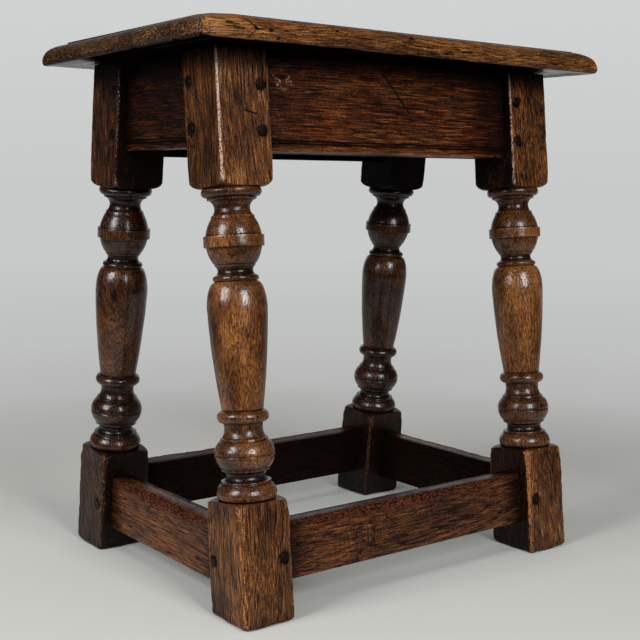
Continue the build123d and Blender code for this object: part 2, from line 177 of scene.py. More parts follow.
class StoolSeatSizes(bpy.types.PropertyGroup):
    """Sizes of the seat board."""

    length: size("Length", "Seat board along X", SEAT_BOX[1].x - SEAT_BOX[0].x)
    width: size("Width", "Seat board along Y", SEAT_BOX[1].y - SEAT_BOX[0].y)
    top: size("Top", "Height of the seat's surface", SEAT_BOX[1].z)
    thickness: size("Thickness", "Thickness of the board", SEAT_BOX[1].z - SEAT_BOX[0].z)
    thumbnail: size("Thumbnail", "Width of the moulded edge", 19.3 * MM)
    step: size("Step", "Drop from the raised field to the moulding", 1.9 * MM)
    rim: size("Rim", "Upright part of the edge above the underside", 3.3 * MM)
    arris: size("Arris", "Worn rounding of the lower edge", 3.0 * MM)
    hollow: size("Hollow", "How far sitting has worn the middle down", 0.9 * MM)
    corner: size("Corner", "Rounding of the corners in plan", 4.5 * MM)
    corner_wear: size("Corner wear", "How far the top of the worn corner has gone down", 1.5 * MM)
    worn_corner: size("Worn corner", "Rounding of the most worn corner in plan", 13.0 * MM)
    cell: size("Cell", "Mesh cells on the seat", 3.2 * MM)


class StoolLegSizes(bpy.types.PropertyGroup):
    """Sizes of the turned legs."""

    square: size("Square", "Side of the square stock", 51.0 * MM)
    rake: bpy.props.FloatProperty(
        name="Rake", description="Lean of the legs across the seat", default=math.radians(5.64),
        unit="ROTATION", subtype="ANGLE"
    )
    foot_x: size("Foot X", "Middle of a foot from the middle of the stool, along X", 167.3 * MM)
    foot_y: size("Foot Y", "Middle of a foot from the middle of the stool, along Y", 123.153 * MM)
    head_block: size("Head block", "Square part at the top", 112.5 * MM)
    foot_block: size("Foot block", "Square part at the foot", 97.5 * MM)
    head_arris: size("Head arris", "Worn corners of the head block", 2.0 * MM)
    foot_arris: size("Foot arris", "Worn corners of the foot block", 4.4 * MM)
    sole: size("Sole", "Rounding of the foot's lower edge", 3.6 * MM)
    band: size("Band", "Raised band round the ball", 9.3 * MM)
    band_radius: size("Band radius", "Radius of the raised band", 25.2 * MM)
    line: size("Line", "Width of the line cut round the bulb", 1.4 * MM)
    steps: bpy.props.IntProperty(
        name="Steps", description="Mesh steps round a leg", default=128, min=32, max=256
    )


class StoolRailSizes(bpy.types.PropertyGroup):
    """Sizes of the aprons and stretchers."""

    long_apron: size("Long apron", "Height of the front and back aprons", 84.0 * MM)
    short_apron: size("Short apron", "Height of the side aprons", 79.5 * MM)
    apron: size("Apron thickness", "Thickness of the aprons", 18.0 * MM)
    long_apron_inset: size("Long apron inset", "Apron behind the face of the legs", 9.2 * MM)
    short_apron_inset: size("Short apron inset", "Apron behind the face of the legs", 9.5 * MM)
    long_stretcher: size("Long stretcher", "Height of the front and back stretchers", 48.0 * MM)
    short_stretcher: size("Short stretcher", "Height of the side stretchers", 50.0 * MM)
    stretcher: size("Stretcher thickness", "Thickness of the stretchers", 21.3 * MM)
    long_stretcher_inset: size("Long stretcher inset", "Behind the face of the legs", 11.5 * MM)
    short_stretcher_inset: size("Short stretcher inset", "Behind the face of the legs", 10.5 * MM)
    long_stretcher_rise: size("Long stretcher rise", "Lower edge above the floor", 27.0 * MM)
    short_stretcher_rise: size("Short stretcher rise", "Lower edge above the floor", 21.6 * MM)
    groove: size("Groove", "Width of a scratched line on an apron", 1.3 * MM)
    groove_depth: size("Groove depth", "Depth of a scratched line", 0.9 * MM)
    groove_rise: size("Groove rise", "Lower line above the apron's lower edge", 6.6 * MM)
    groove_spacing: size("Groove spacing", "Between the two lines", 2.6 * MM)
    foot_wear: size("Foot wear", "Wear of a stretcher's upper outer corner", 5.0 * MM)


class StoolPegSizes(bpy.types.PropertyGroup):
    """Sizes of the pegs."""

    radius: size("Radius", "Radius of a joint's peg at its head", 4.0 * MM)
    length: size("Length", "Length of a joint's peg", 35.0 * MM)
    proud: size("Proud", "Peg head above the leg's face", 0.2 * MM)
    from_axis: size("From axis", "Peg from the leg's axis towards the rail", 16.5 * MM)
    lower_rise: size("Lower peg", "Lower peg above an apron's lower edge", 16.0 * MM)
    spacing: size("Spacing", "Between the two pegs of an apron's joint", 37.5 * MM)
    seat_radius: size("Seat peg radius", "Radius of a seat peg", 4.0 * MM)
    seat_offset: size("Seat peg offset", "Seat peg from the leg's axis", 6.5 * MM)
    seat_length: size("Seat peg length", "Length of a seat peg", 47.2 * MM)


class StoolFinish(bpy.types.PropertyGroup):
    """Colours of the waxed oak."""

    pale: colour("Pale", "Oak where the wear has reached bare wood", (0.35, 0.18, 0.075))
    # Rubbed also paints a highlight on the head corner that faces the camera.
    rubbed_and_highlight: colour("Rubbed", "Bare pale wood on sharp corners", (0.42, 0.325, 0.275))
    honey: colour("Honey", "Oak where hands have polished it", (0.238, 0.096, 0.0250))
    amber: colour("Amber", "Common colour of the turned oak", (0.121, 0.0450, 0.0122))
    brown: colour("Brown", "Common colour of the flat oak", (0.058, 0.0200, 0.0056))
    umber: colour("Umber", "Dark streaks", (0.020, 0.0058, 0.0016))
    # Soot is also the painted shade in the hollows, under the seat and on inner faces.
    soot_and_shade: colour("Soot", "Old wax and dirt in the hollows", (0.0040, 0.0018, 0.0011))
    russet: colour("Russet", "Reddish tinge of the old varnish", (0.105, 0.027, 0.0105))


class StoolStage(bpy.types.PropertyGroup):
    """The stage and its light."""

    floor: colour("Floor", "Floor under the stool", (0.575, 0.58, 0.55))
    pit: colour("Pit", "Dark floor in front of the pale floor", (0.03, 0.03, 0.03))
    distance: colour("Distance", "Floor round the stool", (0.53, 0.525, 0.495))
    horizon: colour("Horizon", "Backdrop where it meets the floor", (0.58, 0.59, 0.59))
    backdrop: colour("Backdrop", "Backdrop higher up", (0.66, 0.67, 0.675))
    key: strength("Key", "Power of the key light, in watts", 30.0)
    fill: strength("Fill", "Power of the fill light, in watts", 30.0)
    sky: strength("Sky", "Strength of the light from all round", 0.34)
    room: strength("Room", "Share of the backdrop that the dark room shows", 0.06)


# ---- Node trees ----
class Nodes:
    """Adds nodes to a tree, one short call each."""

    def __init__(self, tree):
        self.tree = tree

    def add(self, kind, **settings):
        node = self.tree.nodes.new(kind)
        for name, value in settings.items():
            setattr(node, name, value)
        return node

    def feed(self, socket, value):
        """Links a node's output to a socket, or sets the socket to a value."""
        if isinstance(value, bpy.types.NodeSocket):
            self.tree.links.new(value, socket)
        elif value is not None:
            socket.default_value = value

    def math(self, operation, a, b=None, c=None, clamp=False):
        node = self.add("ShaderNodeMath", operation=operation, use_clamp=clamp)
        for socket, value in zip(node.inputs, (a, b, c)):
            self.feed(socket, value)
        return node.outputs[0]

    def total(self, start, *parts):
        """A start and each part's value times its weight, added up."""
        for value, weight in parts:
            start = self.math("MULTIPLY_ADD", value, weight, start)
        return start

    def centred(self, value):
        """Noise about 0 instead of about a half."""
        return self.math("SUBTRACT", value, 0.5)

    def vector(self, operation, a, b=None, scale=None):
        node = self.add("ShaderNodeVectorMath", operation=operation)
        self.feed(node.inputs[0], a)
        self.feed(node.inputs[1], b)
        if scale is not None:
            self.feed(node.inputs["Scale"], scale)
        return node.outputs["Value" if operation in ("LENGTH", "DOT_PRODUCT") else "Vector"]

    def mapped(self, vector, kind="POINT", **sockets):
        node = self.add("ShaderNodeMapping", vector_type=kind)
        self.feed(node.inputs["Vector"], vector)
        for name, value in sockets.items():
            node.inputs[name].default_value = value
        return node.outputs[0]

    def noise(self, vector, detail=2.0, roughness=0.5, colour=False):
        node = self.add("ShaderNodeTexNoise")
        self.feed(node.inputs["Vector"], vector)
        node.inputs["Scale"].default_value = 1.0
        node.inputs["Detail"].default_value = detail
        node.inputs["Roughness"].default_value = roughness
        return node.outputs["Color" if colour else "Fac"]

    def ramp(self, value, *stops):
        """Value or colour stops: (place, level) or (place, colour)."""
        node = self.add("ShaderNodeValToRGB")
        elements = node.color_ramp.elements
        while len(elements) < len(stops):
            elements.new(1.0)
        for element, (place, level) in zip(elements, stops):
            element.position = place
            shade = (level,) * 3 if isinstance(level, float) else tuple(level)
            element.color = (*shade, 1.0)
        self.feed(node.inputs[0], value)
        return node.outputs["Color"]

    def blend(self, factor, a, b, kind="MIX"):
        """Two colours mixed by a factor."""
        node = self.add("ShaderNodeMix", data_type="RGBA", blend_type=kind)
        self.feed(node.inputs["Factor"], factor)
        for socket, value in ((node.inputs[6], a), (node.inputs[7], b)):
            self.feed(socket, value if isinstance(value, bpy.types.NodeSocket) else (*value, 1.0))
        return node.outputs[2]

    def tinted(self, factor, base, tint):
        """A colour multiplied by a tint, by a factor."""
        return self.blend(factor, base, self.blend(1.0, base, tint, "MULTIPLY"))

    def attribute(self, name):
        return self.add("ShaderNodeAttribute", attribute_name=name).outputs["Fac"]

    def direct_rays(self):
        """The light path node, and 1 for rays from the camera, also through glass."""
        path = self.add("ShaderNodeLightPath").outputs
        return path, self.math("MAXIMUM", path["Is Camera Ray"], path["Is Transmission Ray"])


def marks_on(axis, level, thin, rows, base=0.0):
    """Marks on a face across X (0) or Y (1), at a level. Thin is how little that axis counts."""
    ease = tuple(thin if each == axis else 1.0 for each in range(3))
    marks = []
    for row in rows:
        ends = []
        for along, rise in (row[0:2], row[2:4]):
            spot = [along * MM, along * MM, base + rise * MM]
            spot[axis] = level * MM
            ends.append(tuple(spot))
        marks.append((*ends, row[4] * MM, ease))
    return marks


def line_mark(kit, place, start, end, width, ease):
    """1 on a line between two points, fading to 0 at its width. Ease shrinks an axis."""
    start, end = Vector(start) * Vector(ease), Vector(end) * Vector(ease)
    along = end - start
    offset = kit.vector("SUBTRACT", kit.vector("MULTIPLY", place, tuple(ease)), tuple(start))
    passed = kit.vector("DOT_PRODUCT", offset, tuple(along))
    share = kit.math("DIVIDE", passed, along.length_squared, clamp=True)
    foot = kit.vector("SCALE", tuple(along), scale=share)
    gap = kit.vector("LENGTH", kit.vector("SUBTRACT", offset, foot))
    return kit.math("SUBTRACT", 1.0, kit.math("DIVIDE", gap, width), clamp=True)


def oak_material(
    name, grain, pith, seed, tone=0.0, marks=(), rays=(), ring=3.0, red=0.15, mottling=1.0
):
    """Waxed old oak. Grain turns the wood's length to its Z, and pith is the middle of the tree."""
    finish = bpy.context.scene.stool_finish
    soot_and_shade = tuple(finish.soot_and_shade)
    material = bpy.data.materials.new(name)
    material.use_nodes = True
    tree = material.node_tree
    kit = Nodes(tree)
    place = kit.add("ShaderNodeTexCoord").outputs["Object"]
    wood = kit.mapped(
        place, "TEXTURE", Location=tuple(pith), Rotation=tuple(grain), Scale=(MM, MM, MM)
    )
    wear, grime, bruise, turned, shift_of_tone, endwise = [
        kit.attribute(layer) for layer in ("wear", "grime", "bruise", "turned", "tone", "endwise")
    ]

    def lumps(across, along, detail=2.0, roughness=0.5, vector=wood, shift=0.0):
        """Noise with lumps of a size across and along the grain, in millimetres."""
        spot = kit.mapped(
            vector, Location=(seed + shift, shift, seed - shift),
            Scale=(1.0 / across, 1.0 / across, 1.0 / along)
        )
        return kit.noise(spot, detail, roughness)

    # The grain wanders along the board.
    slow = kit.mapped(wood, Location=(seed, 0, 0), Scale=(1 / 70, 1 / 70, 1 / 230))
    centred = kit.vector("SUBTRACT", kit.noise(slow, colour=True), (0.5, 0.5, 0.5))
    sway = 34.0 * mottling
    bent = kit.vector("ADD", wood, kit.vector("MULTIPLY", centred, (sway, sway, 0.0)))

    # Growth rings: porous early wood, then dense late wood.
    from_pith = kit.vector("LENGTH", kit.vector("MULTIPLY", bent, (1.0, 1.0, 0.0)))
    ripple = lumps(9.0, 70.0, 3.0, vector=bent)
    phase = kit.math("FRACT", kit.total(kit.math("DIVIDE", from_pith, ring), (ripple, 1.5)))
    early = kit.ramp(phase, (0.0, 1.0), (0.16, 0.85), (0.42, 0.18), (0.85, 0.0), (1.0, 0.75))
    # Flat faces show long pores and fibres, and the turning cuts them short.
    long_pores = kit.ramp(lumps(0.9, 14.0, 2.0, 0.6, bent), (0.52, 0.0), (0.60, 1.0))
    short_pores = kit.ramp(lumps(0.95, 3.2, 2.0, 0.65, bent, 4.0), (0.53, 0.0), (0.62, 0.8))
    pore = kit.blend(turned, long_pores, short_pores)
    fleck = kit.math("MULTIPLY", pore, kit.total(0.45, (early, 0.55)))
    fibre = kit.blend(
        turned, lumps(0.9, 26.0, 2.0, 0.5, bent, 7.0), lumps(0.95, 7.0, 2.0, 0.5, bent, 8.0)
    )
    mottle = lumps(12.0, 26.0, 4.0, 0.62, shift=2.0)
    cloud = lumps(46.0, 85.0, 2.0, shift=9.0)
    craze = lumps(1.1, 1.9, 3.0, 0.7, shift=5.0)
    coarse = kit.centred(lumps(1.3, 1.3, 2.0, 0.6, shift=21.0))

    # One tone from dark to pale, which picks the colour.
    value = kit.total(
        kit.math("ADD", shift_of_tone, 0.60 + tone), (kit.centred(cloud), 0.75 * mottling),
        (kit.centred(mottle), 0.60 * mottling), (kit.math("MULTIPLY", coarse, endwise), 3.6)
    )
    for centre, reach in rays:
        # Medullary rays cross the grain.
        offset = kit.vector("SUBTRACT", place, tuple(Vector(centre) * MM))
        away = kit.math("DIVIDE", kit.vector("LENGTH", offset), reach * MM)
        near = kit.ramp(away, (0.55, 1.0), (1.0, 0.0))
        ray = kit.math("MULTIPLY", kit.centred(lumps(9.0, 1.3, 1.0, shift=27.0)), near)
        value = kit.total(value, (kit.math("MINIMUM", ray, 0.03), 1.2))
    value = kit.total(
        value, (kit.centred(craze), kit.total(1.05, (turned, -0.45))),
        (kit.centred(fibre), kit.total(1.45, (turned, -0.45))), (early, -0.08),
        (fleck, -0.20 - 0.32 * mottling), (wear, 0.28), (grime, -0.42)
    )
    base = kit.ramp(
        value, (0.0, finish.soot_and_shade), (0.20, finish.umber), (0.40, finish.brown),
        (0.60, finish.amber), (0.80, finish.honey), (1.0, finish.pale)
    )
    # End grain is greyer, partly a painted grey sheen; worn corners are bare, and on one head
    # corner the bare colour also paints a highlight; and old varnish is red in places.
    base = kit.tinted(kit.math("MULTIPLY", endwise, 0.42), base, (0.86, 1.10, 1.45))
    bare = kit.total(kit.math("SUBTRACT", wear, 0.40), (kit.centred(craze), 3.0))
    base = kit.blend(kit.ramp(bare, (0.24, 0.0), (0.62, 1.0)), base, tuple(finish.rubbed_and_highlight))
    warm = kit.ramp(lumps(30.0, 60.0, 3.0, shift=13.0), (0.36, 0.3), (0.66, 1.0))
    base = kit.tinted(kit.math("MULTIPLY", warm, red), base, (1.15, 0.62, 0.55))
    # Dirt and painted shade lie in the hollows, under the seat and on inner faces, and bruises show
    # raw pitted wood.
    dirt_and_shade = kit.total(kit.math("SUBTRACT", grime, 0.25), (craze, 0.5))
    dirt_and_shade = kit.ramp(dirt_and_shade, (0.28, 0.0), (0.85, 1.0))
    base = kit.blend(kit.math("MULTIPLY", dirt_and_shade, 0.9), base, soot_and_shade)
    pit = kit.ramp(lumps(1.4, 3.0, 3.0, 0.65, shift=17.0), (0.48, 1.0), (0.53, 0.0))
    raw = kit.blend(pit, tuple(finish.russet), soot_and_shade)
    base = kit.blend(kit.math("MULTIPLY", bruise, 0.92), base, raw)
    height = kit.total(
        0.0, (fleck, -0.55), (early, -0.20), (craze, 0.30), (fibre, 0.35),
        (kit.math("MULTIPLY", pit, bruise), -1.3), (lumps(6.0, 14.0, 2.0, shift=3.0), 1.4)
    )
    if marks:
        strayed = kit.vector("ADD", place, kit.vector("SCALE", centred, scale=4 * MM))
        scar = 0.0
        for mark in marks:
            scar = kit.math("MAXIMUM", line_mark(kit, strayed, *mark), scar)
        base = kit.blend(kit.ramp(scar, (0.1, 0.0), (0.6, 1.0)), base, soot_and_shade)
        height = kit.total(height, (scar, -1.5))
    bump = kit.add("ShaderNodeBump")
    bump.inputs["Strength"].default_value = 1.0
    bump.inputs["Distance"].default_value = 0.18 * MM
    kit.feed(bump.inputs["Height"], height)

    # Dirt, painted shade and dry sawn faces are dull; the turning is polished.
    rough = kit.total(
        0.25, (craze, 0.16), (turned, -0.13), (fleck, 0.12), (grime, 0.14), (bruise, 0.14)
    )
    dullness = kit.total(0.0, (grime, 0.85), (fleck, 0.6), (bruise, 0.6))
    clean = kit.math("SUBTRACT", 1.0, dullness, clamp=True)
    sheen = kit.math("MULTIPLY", kit.total(0.17, (turned, 0.27)), clean)
    shader = tree.nodes["Principled BSDF"]
    for socket, value in (
        ("Base Color", base), ("Roughness", rough), ("Normal", bump.outputs[0]),
        ("Specular IOR Level", sheen), ("Coat Weight", kit.math("MULTIPLY", turned, 0.17)),
        ("Coat Roughness", 0.10),
    ):
        kit.feed(shader.inputs[socket], value)
    return material


# ---- Pieces ----
def finish_piece(name, mesh_data, material, slot, *nodes):
    """Makes the object of a bmesh, with its place in its mesh, and ties it to the frame."""
    bmesh.ops.recalc_face_normals(mesh_data, faces=mesh_data.faces)
    mesh = bpy.data.meshes.new(name)
    mesh_data.to_mesh(mesh)
    mesh_data.free()
    mesh.shade_smooth()
    mesh.materials.append(material)
    piece = bpy.data.objects.new(name, mesh)
    bpy.context.scene.collection.objects.link(piece)
    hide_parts(*nodes)
    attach(piece, "root")


def float_layers(mesh, *names):
    """New float layers of a mesh's vertices, which its material reads as attributes."""
    return {name: mesh.verts.layers.float.new(name) for name in names}


def store(vert, layers, **values):
    """Writes a vertex's values into its layers."""
    for name, value in values.items():
        vert[layers[name]] = value


def smoothstep(low, high, value):
    """0 below low, 1 above high and smooth between."""
    share = min(1.0, max(0.0, (value - low) / (high - low)))
    return share * share * (3.0 - 2.0 * share)


def beyond(low, high, value):
    """Smoothstep of a value in metres, with its limits in millimetres."""
    return smoothstep(low * MM, high * MM, value)


def within(low, high, value):
    """1 up to low and 0 from high on, with these limits in millimetres."""
    return 1.0 - beyond(low, high, value)


def dome(gap):
    """1 at no gap, falling smoothly to 0 at a gap of 1."""
    return (1.0 - gap * gap) ** 2 if gap < 1.0 else 0.0


def wander(point, lump, seed):
    """Smooth noise from -1 to 1 with lumps of about the given size, in millimetres."""
    return noise.noise(Vector(point) / (lump * MM) + Vector((seed * 7.3, seed * 3.1, seed * 5.7)))


def soft_least(a, b, ease):
    """The smaller of two lengths, with the corner between them eased."""
    blend = max(ease - abs(a - b), 0.0) / ease
    return min(a, b) - blend * blend * ease / 4.0


def turn_between(start, end):
    """Turn from one angle to another, from -pi to pi."""
    return (end - start + math.pi) % (2.0 * math.pi) - math.pi


def seat_underside():
    """Height of the seat's underside."""
    seat = bpy.context.scene.stool_seat
    return seat.top - seat.thickness


# ---- Legs ----
def arc_through(low, crest, high, height, count):
    """Points of a moulding's arc through three radii, the crest in the middle of its height."""
    a, b, c = Vector((low, 0.0)), Vector((crest, height / 2.0)), Vector((high, height))
    d = 2.0 * (a.x * (b.y - c.y) + b.x * (c.y - a.y) + c.x * (a.y - b.y))
    if abs(d) < 1e-6:
        return [a.lerp(c, step / count) for step in range(count + 1)]
    aa, bb, cc = a.length_squared, b.length_squared, c.length_squared
    centre = Vector((
        (aa * (b.y - c.y) + bb * (c.y - a.y) + cc * (a.y - b.y)) / d,
        (aa * (c.x - b.x) + bb * (a.x - c.x) + cc * (b.x - a.x)) / d,
    ))
    reach = (a - centre).length
    side = 1.0 if b.x > centre.x else -1.0
    points = []
    for step in range(count + 1):
        y = height * (1.0 - math.cos(math.pi * step / count)) / 2.0
        out = math.sqrt(max(reach ** 2 - (y - centre.y) ** 2, 0.0))
        points.append(Vector((centre.x + side * out, y)))
    return points


def turned_line(legs):
    """Radius and height of the turning's outline, corner by corner, in millimetres."""
    line = []
    base = legs.foot_block / MM - TURNING[0][4]
    for name, low, crest, high, height, _ in TURNING:
        if name.endswith("quarter"):
            points = []
            for step in range(25):
                angle = math.pi / 2.0 * step / 24
                x, y = high + (low - high) * math.cos(angle), height * math.sin(angle)
                if high > low:
                    x = low + (high - low) * math.sin(angle)
                    y = height * (1.0 - math.cos(angle))
                points.append(Vector((x, y)))
        elif name == "base bead":
            # Fuller below: its crest lies under the middle.
            points = arc_through(low, crest, crest - 0.1, height * 0.7, 12)[:7]
        else:
            points = arc_through(low, crest, high, height, 32)
        line += [point + Vector((0.0, base)) for point in points]
        if name == "base bead":
            rest = height - line[-1].y + base
            for point in arc_through(line[-1].x, 24.0, high, rest, 16)[1:]:
                line.append(point + Vector((0.0, base + height - rest)))
        base += height
    return line


def even_line(line, spacing):
    """The same line with points a set distance apart."""
    points = [line[0].copy()]
    left = spacing
    for start, end in zip(line, line[1:]):
        length = (end - start).length
        while length > left:
            start = start.lerp(end, left / length)
            points.append(start.copy())
            length -= left
            left = spacing
        left -= length
    points.append(line[-1].copy())
    return points


def eased_line(line, reach):
    """Each point moved to the weighted middle of its neighbours."""
    weights = [math.exp(-2.0 * (step / reach) ** 2) for step in range(-reach, reach + 1)]
    total = sum(weights)
    last = len(line) - 1
    eased = []
    for index in range(len(line)):
        point = Vector((0.0, 0.0))
        for offset, weight in zip(range(-reach, reach + 1), weights):
            point += line[min(last, max(0, index + offset))] * weight
        eased.append(point / total)
    eased[0], eased[-1] = line[0].copy(), line[-1].copy()
    return eased


def kept_points(line, low, high, tolerance, longest, keep):
    """Marks the points that a line needs to stay within a tolerance."""
    keep.update((low, high))
    if high - low < 2:
        return
    start, end = line[low], line[high]
    along = end - start
    length = along.length
    worst, gap = (low + high) // 2, 0.0
    for index in range(low + 1, high):
        offset = line[index] - start
        away = offset.length
        if length > 1e-9:
            away = abs(offset.x * along.y - offset.y * along.x) / length
        if away > gap:
            worst, gap = index, away
    if gap > tolerance or length > longest:
        if gap <= tolerance:
            worst = (low + high) // 2
        kept_points(line, low, worst, tolerance, longest, keep)
        kept_points(line, worst, high, tolerance, longest, keep)


def leg_outline(legs):
    """Points up a leg's outline as (radius, height, wear, grime and painted shade, tone), in metres
    and shares.
    """
    spacing = 0.12
    line = even_line(turned_line(legs), spacing)
    base = legs.foot_block / MM - TURNING[0][4]
    spots, levels = {}, []
    for name, _, _, _, height, varnish in TURNING:
        spots[name] = base + height / 2.0
        levels.append((base + height, varnish))
        base += height
    for point in line:
        if abs(point.y - spots["ball"]) < legs.band / MM / 2.0:
            point.x = legs.band_radius / MM
        cut = abs(point.y - spots["bulb"]) / (legs.line / MM / 2.0)
        if cut < 1.0:
            point.x -= 0.75 * (1.0 - cut ** 4)
    line = eased_line(even_line(line, spacing), 5)
    # How far a point lies inside its neighbourhood, near and far, tells hollows from crests; crests
    # are worn, and hollows get dirt and painted shade.
    reaches = ((14, 1.5), (34, 0.45), (90, 0.12))
    broader = [(eased_line(line, reach), share) for reach, share in reaches]
    keep = set()
    kept_points(line, 0, len(line) - 1, 0.035, 1.9, keep)
    points = []
    for index in sorted(keep):
        radius, level = line[index]
        along = (line[min(index + 1, len(line) - 1)] - line[max(index - 1, 0)]).normalized()
        outward = Vector((along.y, -along.x))
        hollow = sum((eased[index] - line[index]).dot(outward) * share for eased, share in broader)
        darkness = next((varnish for top, varnish in levels if level <= top), 0.0)
        if abs(level - spots["ball"]) < legs.band / MM / 2.0 + 0.3:
            darkness -= 0.13
        wear, grime = max(0.0, -hollow) * 0.25, max(0.0, hollow)
        points.append((radius * MM, level * MM, wear, grime, -darkness))
    return points


def leg_profile(legs, length):
    """The whole outline of a leg, from the middle of its foot to the middle of its head."""
    swing = legs.square / math.sqrt(2.0)
    turned = leg_outline(legs)
    foot, head = turned[0][1], turned[-1][1]
    radii = (0.0, 9.0, 18.0, 24.0)
    spots = [(radius * MM, 0.0) for radius in radii]
    heights = [0.0, 0.3, 0.8, 1.5, 2.3, 3.2, 4.4]
    while heights[-1] < foot / MM - 2.6:
        heights.append(heights[-1] + 2.2)
    spots += [(swing, height * MM) for height in heights]
    rows = int((length - head) / (2.2 * MM))
    ends = [(swing, head + (length - head) * row / rows) for row in range(1, rows + 1)]
    ends += [(radius * MM, length) for radius in reversed(radii)]
    plain = (0.0, 0.0, 0.0)
    return [(*spot, *plain) for spot in spots] + turned + [(*spot, *plain) for spot in ends]


def peg_places():
    """Pegs of a leg: if on a front or back face, height along the leg, and if at the foot."""
    scene = bpy.context.scene
    rails, pegs = scene.stool_rails, scene.stool_pegs
    upright = math.cos(scene.stool_legs.rake)
    underside = seat_underside()
    places = []
    for step in range(2):
        rise = pegs.lower_rise + step * pegs.spacing
        places.append((True, underside / upright - rails.long_apron + rise, False))
        places.append((False, (underside - rails.short_apron) / upright + rise, False))
    places.append((True, rails.long_stretcher_rise / upright + rails.long_stretcher / 2.0, True))
    level = (rails.short_stretcher_rise + rails.short_stretcher / 2.0) / upright
    places.append((False, level, True))
    return places


def leg_frame(side_x, side_y):
    """Matrix from a leg's own frame, its axis along Z from the floor, to the stool's."""
    legs = bpy.context.scene.stool_legs
    lean, upright = math.sin(legs.rake), math.cos(legs.rake)
    return Matrix((
        (1.0, 0.0, 0.0, side_x * legs.foot_x),
        (0.0, upright, -side_y * lean, side_y * legs.foot_y),
        (0.0, side_y * lean, upright, 0.0),
        (0.0, 0.0, 0.0, 1.0),
    ))


